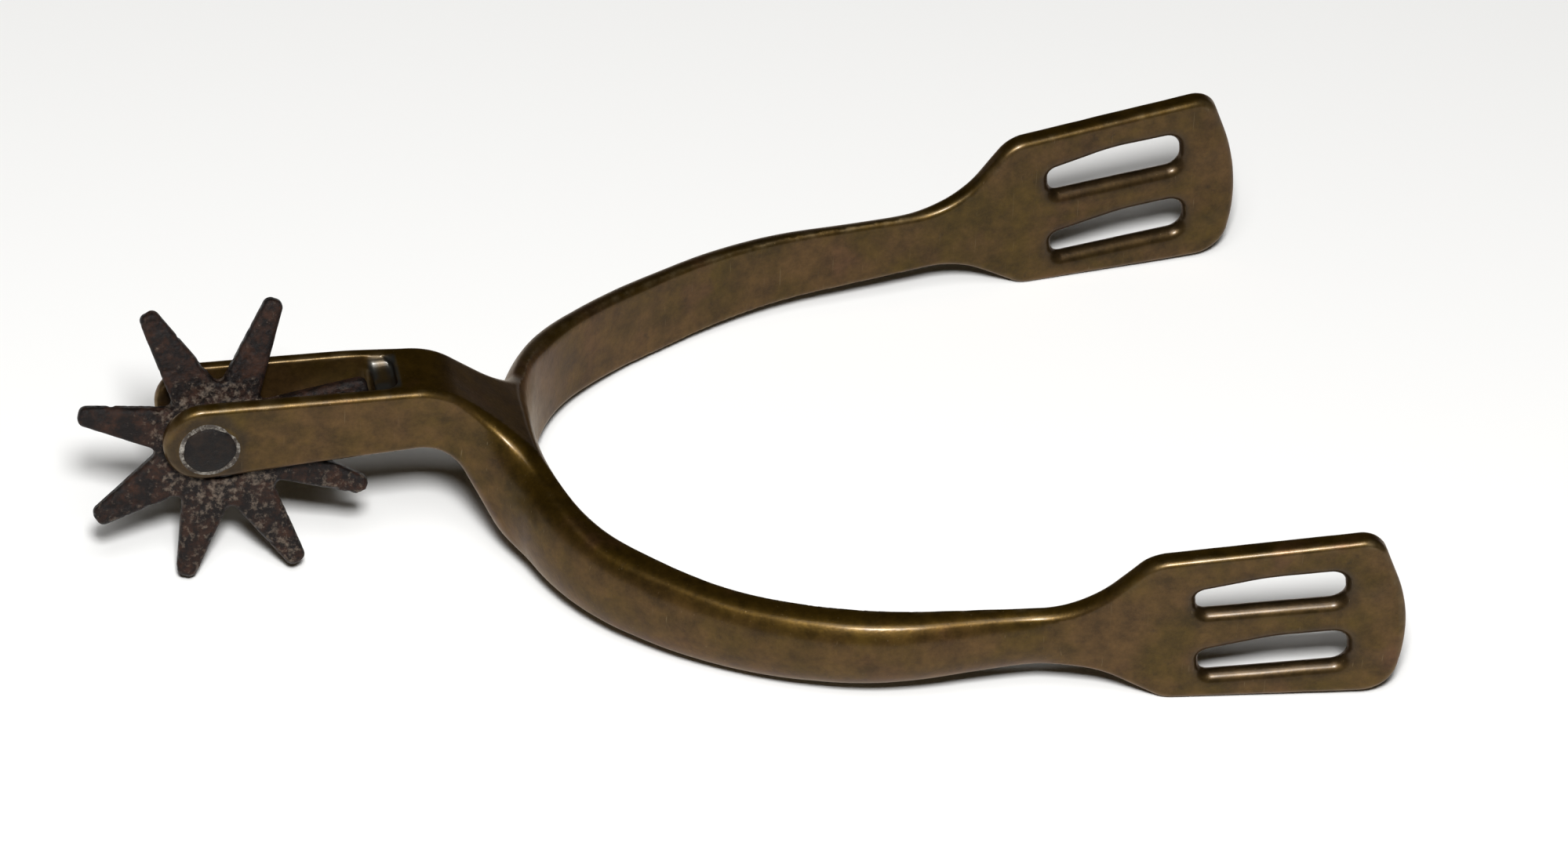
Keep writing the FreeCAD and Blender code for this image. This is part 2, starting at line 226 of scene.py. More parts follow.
def round_min(first: np.ndarray, second: np.ndarray, radius: np.ndarray | float) -> np.ndarray:
    """Join two shapes with a hollow fillet between them.

    Args:
        first: Distance outside the first shape.
        second: Distance outside the second shape.
        radius: Radius of the fillet.

    Returns:
        The smaller distance, but near the inner corner the distance to a circle of that radius.
    """
    corner = np.hypot(np.maximum(radius - first, 0.0), np.maximum(radius - second, 0.0))
    return np.maximum(radius, np.minimum(first, second)) - corner


# --- Outlines ---


@dataclass(frozen=True)
class Corner:
    """One corner of an outline: its place and the radius that rounds it."""

    across: float
    up: float
    radius: float = 0.0


@dataclass(frozen=True)
class Run:
    """A straight run of an outline, from one point to another."""

    start: np.ndarray
    end: np.ndarray

    def measure(self, across: np.ndarray, up: np.ndarray) -> tuple[np.ndarray, np.ndarray]:
        """Distance from the run, and how far across its nearest point lies.

        Args:
            across: First coordinate of the points.
            up: Second coordinate of the points.

        Returns:
            The distance to the left of the run, less than nothing on its right, and the first
            coordinate of the nearest point on it.
        """
        length = float(np.linalg.norm(self.end - self.start))
        way = (self.end - self.start) / max(length, TINY)
        beside, above = across - self.start[0], up - self.start[1]
        along = np.clip(beside * way[0] + above * way[1], 0.0, length)
        distance = np.hypot(beside - along * way[0], above - along * way[1])
        left = way[0] * above - way[1] * beside
        return np.where(left < 0.0, -distance, distance), self.start[0] + along * way[0]


@dataclass(frozen=True)
class Arc:
    """A rounded corner of an outline: its middle, its radius and the stretch that it spans."""

    middle: np.ndarray
    radius: float
    towards: np.ndarray
    half_span: float
    hand: float

    def measure(self, across: np.ndarray, up: np.ndarray) -> tuple[np.ndarray, np.ndarray]:
        """Distance from the arc, and how far across its nearest point lies.

        Args:
            across: First coordinate of the points.
            up: Second coordinate of the points.

        Returns:
            The distance to the left of the arc, endless outside its span, and the first coordinate
            of the nearest point on it.
        """
        beside, above = across - self.middle[0], up - self.middle[1]
        reach = np.maximum(np.hypot(beside, above), TINY)
        facing = (beside * self.towards[0] + above * self.towards[1]) / reach
        distance = self.hand * (self.radius - reach)
        distance = np.where(facing >= math.cos(self.half_span), distance, np.inf)
        return distance, self.middle[0] + self.radius * beside / reach


class Outline:
    """Straight runs joined by arcs that touch both of their runs."""

    def __init__(self, corners: list[Corner], closed: bool = True) -> None:
        """Work out the runs and arcs.

        Args:
            corners: The corners in order, clockwise where the outline is closed.
            closed: Whether the last corner joins the first.
        """
        self.pieces: list[Run | Arc] = []
        places = [np.array((corner.across, corner.up)) for corner in corners]
        count = len(corners)
        starts, ends = list(places), list(places)
        for number, corner in enumerate(corners):
            if corner.radius and (closed or 0 < number < count - 1):
                before, after = places[number - 1], places[(number + 1) % count]
                arc, starts[number], ends[number] = self.make_arc(before, places[number], after,
                                                                  corner.radius)
                self.pieces.append(arc)
        for number in range(count if closed else count - 1):
            self.pieces.append(Run(ends[number], starts[(number + 1) % count]))

    @staticmethod
    def make_arc(before: np.ndarray, place: np.ndarray, after: np.ndarray,
                 radius: float) -> tuple[Arc, np.ndarray, np.ndarray]:
        """Round one corner.

        Args:
            before: The corner before.
            place: The corner itself.
            after: The corner after.
            radius: Radius of the arc.

        Returns:
            The arc, and the points where it leaves the run before and joins the run after.
        """
        arriving = (place - before) / np.linalg.norm(place - before)
        leaving = (after - place) / np.linalg.norm(after - place)
        turn = math.acos(float(np.clip(arriving @ leaving, -1.0, 1.0)))
        hand = math.copysign(1.0, arriving[0] * leaving[1] - arriving[1] * leaving[0])
        reach = radius * math.tan(turn / 2)
        inward = leaving - arriving
        inward = inward / np.linalg.norm(inward)
        middle = place + inward * radius / math.cos(turn / 2)
        arc = Arc(middle, radius, -inward, turn / 2, hand)
        return arc, place - arriving * reach, place + leaving * reach

    def measure(self, across: np.ndarray, up: np.ndarray) -> tuple[np.ndarray, np.ndarray]:
        """Distance outside the outline, and how far across its nearest point lies.

        Args:
            across: First coordinate of the points.
            up: Second coordinate of the points.

        Returns:
            The distance to the nearest run or arc, less than nothing on its right, and the first
            coordinate of the nearest point.
        """
        best, foot = self.pieces[0].measure(across, up)
        for piece in self.pieces[1:]:
            distance, place = piece.measure(across, up)
            nearer = np.abs(distance) < np.abs(best)
            best = np.where(nearer, distance, best)
            foot = np.where(nearer, place, foot)
        return best, foot


# --- Surfaces ---


@dataclass
class Surface:
    """A closed surface: points in millimetres, four-cornered faces and values on the points.

    Its facing is the outward direction at each point, where that is known better than the faces
    give it.
    """

    points: np.ndarray
    faces: np.ndarray
    values: dict[str, np.ndarray] = field(default_factory=dict)
    facing: np.ndarray | None = None

    def normals(self) -> np.ndarray:
        """Outward direction at each point.

        Returns:
            The sum of the directions of its faces, as long as one.
        """
        first, second, third, fourth = (self.points[self.faces[:, k]] for k in range(4))
        facing = np.cross(third - first, fourth - second)
        total = np.zeros_like(self.points)
        for corner in range(4):
            for axis in range(3):
                total[:, axis] += np.bincount(self.faces[:, corner], facing[:, axis], len(total))
        return total / np.maximum(np.linalg.norm(total, axis=1, keepdims=True), TINY)

    def averaged(self, values: np.ndarray) -> np.ndarray:
        """Mean of the values at each point's neighbours along the faces' edges.

        Args:
            values: One row of numbers for each point.

        Returns:
            The means, in rows of the same length.
        """
        tails = np.concatenate([self.faces[:, k] for k in range(4)])
        heads = np.concatenate([self.faces[:, (k + 1) % 4] for k in range(4)])
        count = np.maximum(np.bincount(tails, minlength=len(values)), 1)
        columns = [np.bincount(tails, values[heads, k], len(values)) / count
                   for k in range(values.shape[1])]
        return np.stack(columns, axis=1)

    def sharpness(self, passes: int) -> np.ndarray:
        """How far each point stands proud of its surroundings, in millimetres.

        Args:
            passes: How many times the surroundings are averaged.

        Returns:
            The distance of each point outside the averaged surface, less than nothing in hollows.
        """
        settled = self.points
        for _ in range(passes):
            settled = self.averaged(settled)
        return np.sum((self.points - settled) * self.normals(), axis=1)

    def push(self, distance: np.ndarray) -> None:
        """Move every point outwards along its own normal by its distance."""
        self.points = self.points + self.normals() * distance[:, None]


def corner_steps() -> list[np.ndarray]:
    """The eight corners of a unit cube."""
    return [np.array(corner) for corner in np.ndindex(2, 2, 2)]


def net_points(value: np.ndarray, cells: np.ndarray) -> np.ndarray:
    """One point in each cell that the surface passes through.

    Args:
        value: Distances on the grid.
        cells: The lowest corner of each cell, as whole grid numbers.

    Returns:
        The mean of the places where the surface crosses the cell's twelve edges.
    """
    total = np.zeros((len(cells), 3))
    crossings = np.zeros(len(cells))
    for start in corner_steps():
        for axis in np.flatnonzero(start == 0):
            end = start.copy()
            end[axis] = 1
            first = value[tuple((cells + start).T)]
            second = value[tuple((cells + end).T)]
            crossed = (first < 0.0) != (second < 0.0)
            share = np.where(crossed, first / np.where(crossed, first - second, 1.0), 0.0)
            total += crossed[:, None] * (start + share[:, None] * (end - start))
            crossings += crossed
    return cells + total / crossings[:, None]


def net_faces(inside: np.ndarray, number: np.ndarray) -> np.ndarray:
    """One four-cornered face across each grid edge that the surface cuts.

    Args:
        inside: Whether each grid point is inside.
        number: The number of the net's point in each cell.

    Returns:
        The faces, each the four cells round an edge, turned so that they face outwards.
    """
    faces = []
    for axis in range(3):
        first = np.moveaxis(inside, axis, 0)
        change = np.zeros(inside.shape, bool)
        np.moveaxis(change, axis, 0)[:-1] = first[:-1] != first[1:]
        edges = np.argwhere(change)
        side_one, side_two = np.zeros(3, int), np.zeros(3, int)
        side_one[(axis + 1) % 3] = 1
        side_two[(axis + 2) % 3] = 1
        ring = [edges - side_one - side_two, edges - side_two, edges, edges - side_one]
        quads = np.stack([number[tuple(cell.T)] for cell in ring], axis=1)
        entering = ~inside[tuple(edges.T)]
        quads[entering] = quads[entering][:, ::-1]
        faces.append(quads)
    return np.concatenate(faces)


def cast_surface(shape: Field, low: tuple[float, ...], high: tuple[float, ...],
                 step: float) -> Surface:
    """Turn a formula for the distance outside a solid into its surface.

    The formula is worked out on an even grid.  Each grid cell that the surface passes through gets
    one point, and each grid edge that it cuts gets one face between the four cells round it.  The
    points then slide along the slope of the formula until its value there is nothing.

    Args:
        shape: Distance outside the solid, for arrays of x, y and z.
        low: Lowest corner of the grid.
        high: Highest corner of the grid.
        step: Spacing of the grid.

    Returns:
        The closed surface.
    """
    lines = [np.arange(first, last + step, step) for first, last in zip(low, high)]
    value = np.asarray(shape(lines[0][:, None, None], lines[1][None, :, None],
                             lines[2][None, None, :]), np.float32)
    inside = value < 0.0
    count = np.zeros([size - 1 for size in value.shape], np.int8)
    for corner in corner_steps():
        window = tuple(slice(start, start + size) for start, size in zip(corner, count.shape))
        count += inside[window]
    mixed = (count > 0) & (count < 8)
    cells = np.argwhere(mixed)
    number = np.full(mixed.shape, -1)
    number[mixed] = np.arange(len(cells))
    points = np.array(low) + net_points(value, cells) * step
    return Surface(settle(points, shape), net_faces(inside, number))


def slope(points: np.ndarray, shape: Field) -> np.ndarray:
    """The slope of a distance formula at each point.

    Args:
        points: Points, three to a row.
        shape: Distance outside the solid.

    Returns:
        The change of the distance along x, y and z, from its values a nudge to each side.
    """
    columns = []
    for axis in range(3):
        shift = np.zeros(3)
        shift[axis] = NUDGE
        ahead, behind = points + shift, points - shift
        columns.append((shape(*ahead.T) - shape(*behind.T)) / (2.0 * NUDGE))
    return np.stack(columns, axis=1)


def settle(points: np.ndarray, shape: Field, rounds: int = 3) -> np.ndarray:
    """Slide points along the slope of a distance formula until they lie on its surface.

    Args:
        points: Points near the surface.
        shape: Distance outside the solid.
        rounds: How many times each point moves by its distance over the square of the slope.

    Returns:
        The moved points.
    """
    for _ in range(rounds):
        way = slope(points, shape)
        steepness = np.maximum(np.sum(way * way, axis=1), LEAST_STEEPNESS)
        points = points - way * (shape(*points.T) / steepness)[:, None]
    return points


def wrapped_faces(stations: int, rows: int, closed: bool) -> np.ndarray:
    """Faces between the points of a grid whose stations go once round.

    Args:
        stations: How many stations there are, the last one beside the first.
        rows: How many points each station has.
        closed: Whether a station's last point is beside its first.

    Returns:
        Four point numbers to a face: here, the next row, both at the next station.
    """
    station = np.arange(stations)[:, None]
    row = np.arange(rows if closed else rows - 1)[None, :]
    here, beyond = station * rows, ((station + 1) % stations) * rows
    above = (row + 1) % rows
    faces = [here + row, here + above, beyond + above, beyond + row]
    return np.stack(faces, axis=-1).reshape(-1, 4)


def turned_surface(profile: np.ndarray, stations: int,
                   relief: Callable[[np.ndarray, np.ndarray], np.ndarray]) -> Surface:
    """Carry a profile round the Y axis.

    The surface is a function of the turn angle and of the place along the profile: the point at
    radius r and height h stands at (r sin a, h, r cos a).  The profile starts and ends on the axis.

    Args:
        profile: Rows of radius and height, from the axis out and back to the axis.
        stations: How many angles the profile stops at.
        relief: Change of radius and of height for arrays of angle and profile number.

    Returns:
        The closed surface, with one point at each pole.
    """
    angle = np.linspace(0.0, 2.0 * math.pi, stations, endpoint=False)[:, None]
    place = np.arange(1, len(profile) - 1)[None, :]
    change = relief(angle, place)
    radius = profile[None, 1:-1, 0] + change[..., 0]
    height = profile[None, 1:-1, 1] + change[..., 1]
    grid = np.stack([radius * np.sin(angle), height, radius * np.cos(angle)], axis=-1)
    rows = grid.shape[1]
    poles = np.array([(0.0, profile[0, 1], 0.0), (0.0, profile[-1, 1], 0.0)])
    points = np.concatenate([grid.reshape(-1, 3), poles])
    first = np.arange(stations) * rows
    second = np.roll(first, -1)
    bottom = np.full(stations, len(points) - 2)
    top = np.full(stations, len(points) - 1)
    caps = [np.stack([bottom, bottom, first, second], axis=1),
            np.stack([top, top, second + rows - 1, first + rows - 1], axis=1)]
    return Surface(points, np.concatenate([wrapped_faces(stations, rows, False), *caps]))


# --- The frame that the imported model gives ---


@dataclass(frozen=True)
class Stance:
    """How the level casting is pitched to stand, read from the record's heel seat."""

    pitch: float

    @classmethod
    def from_record(cls, record: dict) -> "Stance":
        """Read the pitch from the direction that the heel seat faces.

        Args:
            record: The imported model's record.

        Returns:
            The stance.
        """
        seat = next(mount for mount in record["mounts"] if mount["name"] == "heel_seat")
        axis = seat["axis"]
        return cls(math.atan2(axis[2], axis[0]))

    def matrix(self) -> np.ndarray:
        """The turn about the Y axis that lifts the nose by the pitch."""
        cosine, sine = math.cos(self.pitch), math.sin(self.pitch)
        return np.array(((cosine, 0.0, -sine), (0.0, 1.0, 0.0), (sine, 0.0, cosine)))

    def stand(self, points: np.ndarray) -> np.ndarray:
        """Level millimetres to standing metres."""
        return points @ self.matrix().T * METRES

    def lay(self, points: np.ndarray) -> np.ndarray:
        """Standing metres to level millimetres."""
        return points @ self.matrix() / METRES


def make_piece(name: str, surface: Surface, stance: Stance, finish: bpy.types.Material,
               carrier: Carrier) -> bpy.types.Object:
    """Turn a surface into a shown piece that rides on a body.

    Args:
        name: Name of the piece.
        surface: The closed surface, in level millimetres.
        stance: The pitch of the casting.
        finish: The piece's material.
        carrier: The body that it moves with.

    Returns:
        The object, at the origin, with its place in its mesh.
    """
    mesh = bpy.data.meshes.new(name)
    faces = [list(dict.fromkeys(face)) for face in surface.faces.tolist()]
    mesh.from_pydata(stance.stand(surface.points).tolist(), [], faces)
    mesh.polygons.foreach_set("use_smooth", np.ones(len(mesh.polygons), bool))
    for title, values in surface.values.items():
        attribute = mesh.attributes.new(title, "FLOAT", "POINT")
        attribute.data.foreach_set("value", values.astype(np.float32))
    mesh.materials.append(finish)
    mesh.update()
    if surface.facing is not None:
        mesh.normals_split_custom_set_from_vertices((surface.facing @ stance.matrix().T).tolist())
    piece = bpy.data.objects.new(name, mesh)
    bpy.context.scene.collection.objects.link(piece)
    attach(piece, carrier.value)
    return piece


# --- Finishes ---

Colour = tuple[float, float, float, float]


@dataclass(frozen=True)
class BrassFinish:
    """Colours and gloss of the old brass, and the painted shade for its tops."""

    brown: Colour = (0.071, 0.038, 0.012, 1.0)
    olive: Colour = (0.054, 0.032, 0.005, 1.0)
    # top is painted shade: the dark olive that up-facing surfaces are turned to, in place of the dim
    # ceiling they reflect.
    top: Colour = (0.040, 0.022, 0.002, 1.0)
    gold: Colour = (0.150, 0.108, 0.055, 1.0)
    copper: Colour = (0.078, 0.035, 0.019, 1.0)
    grime: Colour = (0.022, 0.014, 0.008, 1.0)
    bare: Colour = (0.036, 0.035, 0.031, 1.0)
    sheen: Colour = (0.60, 0.46, 0.30, 1.0)
    smooth: float = 0.30
    rough: float = 0.46
    metallic: float = 0.75
    specular: float = 0.4
    coat: float = 0.26
    coat_rough: float = 0.21


@dataclass(frozen=True)
class IronFinish:
    """Colours of rusted iron, for the rowel or for the pin."""

    name: str
    iron: Colour
    rust: Colour
    scale: Colour
    scale_start: float
    gloss_smooth: float
    gloss_rough: float
    pit_depth: float
    specular: float = 0.14


ROWEL_FINISH = IronFinish(
    name="rowel_iron", iron=(0.0060, 0.0042, 0.0038, 1.0), rust=(0.034, 0.015, 0.009, 1.0),
    scale=(0.135, 0.104, 0.079, 1.0), scale_start=0.605, gloss_smooth=0.28, gloss_rough=0.58,
    pit_depth=0.8)
PIN_FINISH = IronFinish(
    name="pin_iron", iron=(0.0065, 0.0052, 0.0048, 1.0), rust=(0.017, 0.011, 0.008, 1.0),
    scale=(0.085, 0.072, 0.06, 1.0), scale_start=0.62, gloss_smooth=0.36, gloss_rough=0.60,
    pit_depth=0.7)
CRUST_FINISH = IronFinish(
    name="crust", iron=(0.05, 0.042, 0.036, 1.0), rust=(0.03, 0.022, 0.016, 1.0),
    scale=(0.30, 0.28, 0.245, 1.0), scale_start=0.47, gloss_smooth=0.6, gloss_rough=0.9,
    pit_depth=0.6)


def place_nodes(groups: dict[str, list[bpy.types.Node]], tree: bpy.types.NodeTree) -> None:
    """Lay each group of nodes out in a framed row of its own.

    Args:
        groups: The nodes of each effect, by the effect's name.
        tree: The material's node tree.
    """
    for row, (title, nodes) in enumerate(groups.items()):
        box = tree.nodes.new("NodeFrame")
        box.label = title
        for column, node in enumerate(nodes):
            node.parent = box
            node.location = (NODES_START + column * NODE_SPACING[0], -row * NODE_SPACING[1])


def brass_material(finish: BrassFinish) -> bpy.types.Material:
    """Aged brass: brown patina, painted shade on the tops, worn gold edges, stains and scratches.

    Args:
        finish: The colours and gloss.

    Returns:
        The material.
    """
    material = bpy.data.materials.new("aged_brass")
    material.use_nodes = True
    tree = material.node_tree
    tree.nodes.clear()
    nodes, links = tree.nodes, tree.links

    place = nodes.new("ShaderNodeTexCoord")
    place.label = "place on the spur"
    in_mm = nodes.new("ShaderNodeMapping")
    in_mm.label = "metres to millimetres"
    in_mm.inputs["Scale"].default_value = (1000.0, 1000.0, 1000.0)
    links.new(place.outputs["Object"], in_mm.inputs["Vector"])

    drift = nodes.new("ShaderNodeTexNoise")
    drift.label = "broad patina drift"
    drift.inputs["Scale"].default_value = 0.09
    drift.inputs["Detail"].default_value = 5.0
    drift.inputs["Roughness"].default_value = 0.62
    links.new(in_mm.outputs["Vector"], drift.inputs["Vector"])
    drift_range = nodes.new("ShaderNodeMapRange")
    drift_range.label = "share of brown"
    drift_range.inputs["From Min"].default_value = 0.38
    drift_range.inputs["From Max"].default_value = 0.60
    links.new(drift.outputs["Fac"], drift_range.inputs["Value"])
    patina = nodes.new("ShaderNodeMix")
    patina.label = "olive to brown"
    patina.data_type = "RGBA"
    patina.inputs["A"].default_value = finish.olive
    patina.inputs["B"].default_value = finish.brown
    links.new(drift_range.outputs["Result"], patina.inputs["Factor"])

    # Painted shade: surfaces that face up are darkened to the olive top colour, in place of the dim
    # ceiling that they reflect.
    top = nodes.new("ShaderNodeAttribute")
    top.label = "faces up"
    top.attribute_name = "facing_up"
    top_shade_strength = nodes.new("ShaderNodeMath")
    top_shade_strength.label = "strength of olive tops"
    top_shade_strength.operation = "MULTIPLY"
    top_shade_strength.inputs[1].default_value = 0.9
    links.new(top.outputs["Fac"], top_shade_strength.inputs[0])
    shade_on_top = nodes.new("ShaderNodeMix")
    shade_on_top.label = "olive on top"
    shade_on_top.data_type = "RGBA"
    shade_on_top.inputs["B"].default_value = finish.top
    links.new(top_shade_strength.outputs["Value"], shade_on_top.inputs["Factor"])
    links.new(patina.outputs["Result"], shade_on_top.inputs["A"])

    blush = nodes.new("ShaderNodeTexNoise")
    blush.label = "copper blush"
    blush.inputs["Scale"].default_value = 0.13
    blush.inputs["Detail"].default_value = 3.0
    links.new(in_mm.outputs["Vector"], blush.inputs["Vector"])
    blush_range = nodes.new("ShaderNodeMapRange")
    blush_range.label = "where copper shows"
    blush_range.inputs["From Min"].default_value = 0.58
    blush_range.inputs["From Max"].default_value = 0.76
    blush_range.inputs["To Max"].default_value = 0.6
    links.new(blush.outputs["Fac"], blush_range.inputs["Value"])
    coppered = nodes.new("ShaderNodeMix")
    coppered.label = "patina and copper"
    coppered.data_type = "RGBA"
    coppered.inputs["B"].default_value = finish.copper
    links.new(blush_range.outputs["Result"], coppered.inputs["Factor"])
    links.new(shade_on_top.outputs["Result"], coppered.inputs["A"])

    speck = nodes.new("ShaderNodeTexNoise")
    speck.label = "dark stains"
    speck.inputs["Scale"].default_value = 0.45
    speck.inputs["Detail"].default_value = 6.0
    speck.inputs["Roughness"].default_value = 0.7
    links.new(in_mm.outputs["Vector"], speck.inputs["Vector"])
    speck_range = nodes.new("ShaderNodeMapRange")
    speck_range.label = "where stains show"
    speck_range.inputs["From Min"].default_value = 0.60
    speck_range.inputs["From Max"].default_value = 0.74
    speck_range.inputs["To Max"].default_value = 0.55
    links.new(speck.outputs["Fac"], speck_range.inputs["Value"])
    hollow = nodes.new("ShaderNodeAttribute")
    hollow.label = "hollows"
    hollow.attribute_name = "hollow"
    grime_share = nodes.new("ShaderNodeMath")
    grime_share.label = "stains and hollows"
    grime_share.operation = "MAXIMUM"
    links.new(speck_range.outputs["Result"], grime_share.inputs[0])
    links.new(hollow.outputs["Fac"], grime_share.inputs[1])
    grimed = nodes.new("ShaderNodeMix")
    grimed.label = "grime"
    grimed.data_type = "RGBA"
    grimed.inputs["B"].default_value = finish.grime
    links.new(grime_share.outputs["Value"], grimed.inputs["Factor"])
    links.new(coppered.outputs["Result"], grimed.inputs["A"])

    mottle = nodes.new("ShaderNodeTexNoise")
    mottle.label = "mottled skin"
    mottle.inputs["Scale"].default_value = 0.34
    mottle.inputs["Detail"].default_value = 9.0
    mottle.inputs["Roughness"].default_value = 0.74
    links.new(in_mm.outputs["Vector"], mottle.inputs["Vector"])
    mottle_range = nodes.new("ShaderNodeMapRange")
    mottle_range.label = "darker and lighter"
    mottle_range.inputs["From Min"].default_value = 0.36
    mottle_range.inputs["From Max"].default_value = 0.64
    mottle_range.inputs["To Min"].default_value = 0.62
    mottle_range.inputs["To Max"].default_value = 1.38
    links.new(mottle.outputs["Fac"], mottle_range.inputs["Value"])
    mottled = nodes.new("ShaderNodeMix")
    mottled.label = "mottling"
    mottled.data_type = "RGBA"
    mottled.blend_type = "MULTIPLY"
    mottled.clamp_result = False
    mottled.inputs["Factor"].default_value = 1.0
    links.new(grimed.outputs["Result"], mottled.inputs["A"])
    links.new(mottle_range.outputs["Result"], mottled.inputs["B"])

    edge = nodes.new("ShaderNodeAttribute")
    edge.label = "worn edges"
    edge.attribute_name = "edge_wear"
    rub = nodes.new("ShaderNodeTexNoise")
    rub.label = "uneven rubbing"
    rub.inputs["Scale"].default_value = 0.7
    rub.inputs["Detail"].default_value = 4.0
    links.new(in_mm.outputs["Vector"], rub.inputs["Vector"])
    rub_range = nodes.new("ShaderNodeMapRange")
    rub_range.label = "how bright the edge is"
    rub_range.inputs["From Min"].default_value = 0.35
    rub_range.inputs["From Max"].default_value = 0.65
    rub_range.inputs["To Min"].default_value = 0.15
    rub_range.inputs["To Max"].default_value = 0.95
    links.new(rub.outputs["Fac"], rub_range.inputs["Value"])
    edge_share = nodes.new("ShaderNodeMath")
    edge_share.label = "gold on edges"
    edge_share.operation = "MULTIPLY"
    links.new(edge.outputs["Fac"], edge_share.inputs[0])
    links.new(rub_range.outputs["Result"], edge_share.inputs[1])
    worn = nodes.new("ShaderNodeMix")
    worn.label = "worn gold"
    worn.data_type = "RGBA"
    worn.inputs["B"].default_value = finish.gold
    links.new(edge_share.outputs["Value"], worn.inputs["Factor"])
    links.new(mottled.outputs["Result"], worn.inputs["A"])

    lay_of_scratch = nodes.new("ShaderNodeMapping")
    lay_of_scratch.label = "long and thin"
    lay_of_scratch.inputs["Rotation"].default_value = (0.3, 0.9, 0.35)
    lay_of_scratch.inputs["Scale"].default_value = (3.6, 3.6, 0.16)
    links.new(in_mm.outputs["Vector"], lay_of_scratch.inputs["Vector"])
    scratch = nodes.new("ShaderNodeTexNoise")
    scratch.label = "scratches"
    scratch.inputs["Scale"].default_value = 1.0
    scratch.inputs["Detail"].default_value = 2.0
    links.new(lay_of_scratch.outputs["Vector"], scratch.inputs["Vector"])
    scratch_range = nodes.new("ShaderNodeMapRange")
    scratch_range.label = "only the deepest"
    scratch_range.inputs["From Min"].default_value = 0.70
    scratch_range.inputs["From Max"].default_value = 0.78
    scratch_range.inputs["To Max"].default_value = 0.5
    links.new(scratch.outputs["Fac"], scratch_range.inputs["Value"])
    scratched = nodes.new("ShaderNodeMix")
    scratched.label = "bright scratches"
    scratched.data_type = "RGBA"
    scratched.inputs["B"].default_value = finish.gold
    links.new(scratch_range.outputs["Result"], scratched.inputs["Factor"])
    links.new(worn.outputs["Result"], scratched.inputs["A"])

    bare = nodes.new("ShaderNodeAttribute")
    bare.label = "rubbed bare in the fork"
    bare.attribute_name = "bare"
    bared = nodes.new("ShaderNodeMix")
    bared.label = "bare metal"
    bared.data_type = "RGBA"
    bared.inputs["B"].default_value = finish.bare
    links.new(bare.outputs["Fac"], bared.inputs["Factor"])
    links.new(scratched.outputs["Result"], bared.inputs["A"])

    gloss = nodes.new("ShaderNodeMapRange")
    gloss.label = "gloss of the patina"
    gloss.inputs["From Min"].default_value = 0.3
    gloss.inputs["From Max"].default_value = 0.7
    gloss.inputs["To Min"].default_value = finish.smooth
    gloss.inputs["To Max"].default_value = finish.rough
    links.new(speck.outputs["Fac"], gloss.inputs["Value"])

    grain = nodes.new("ShaderNodeTexNoise")
    grain.label = "cast grain"
    grain.inputs["Scale"].default_value = 2.4
    grain.inputs["Detail"].default_value = 5.0
    links.new(in_mm.outputs["Vector"], grain.inputs["Vector"])
    grain_bump = nodes.new("ShaderNodeBump")
    grain_bump.label = "grain relief"
    grain_bump.inputs["Strength"].default_value = 0.16
    grain_bump.inputs["Distance"].default_value = 0.0001
    links.new(grain.outputs["Fac"], grain_bump.inputs["Height"])
    scratch_bump = nodes.new("ShaderNodeBump")
    scratch_bump.label = "scratch relief"
    scratch_bump.invert = True
    scratch_bump.inputs["Strength"].default_value = 0.35
    scratch_bump.inputs["Distance"].default_value = 0.00005
    links.new(scratch_range.outputs["Result"], scratch_bump.inputs["Height"])
    links.new(grain_bump.outputs["Normal"], scratch_bump.inputs["Normal"])

    surface = nodes.new("ShaderNodeBsdfPrincipled")
    surface.label = "old brass"
    surface.inputs["Metallic"].default_value = finish.metallic
    surface.inputs["Specular IOR Level"].default_value = finish.specular
    surface.inputs["Coat Weight"].default_value = finish.coat
    surface.inputs["Coat Roughness"].default_value = finish.coat_rough
    surface.inputs["Specular Tint"].default_value = finish.sheen
    links.new(bared.outputs["Result"], surface.inputs["Base Color"])
    links.new(gloss.outputs["Result"], surface.inputs["Roughness"])
    links.new(scratch_bump.outputs["Normal"], surface.inputs["Normal"])
    output = nodes.new("ShaderNodeOutputMaterial")
    output.label = "brass"
    links.new(surface.outputs["BSDF"], output.inputs["Surface"])

    place_nodes({
        "place": [place, in_mm],
        # The patina frame also holds the painted shade on the tops.
        "patina": [drift, drift_range, patina, top, top_shade_strength, shade_on_top],
        "copper": [blush, blush_range, coppered],
        "grime": [speck, speck_range, hollow, grime_share, grimed],
        "mottling": [mottle, mottle_range, mottled],
        "worn edges": [edge, rub, rub_range, edge_share, worn],
        "scratches": [lay_of_scratch, scratch, scratch_range, scratched],
        "bare metal": [bare, bared],
        "relief": [grain, grain_bump, scratch_bump, gloss],
        "metal": [surface, output],
    }, tree)
    return material


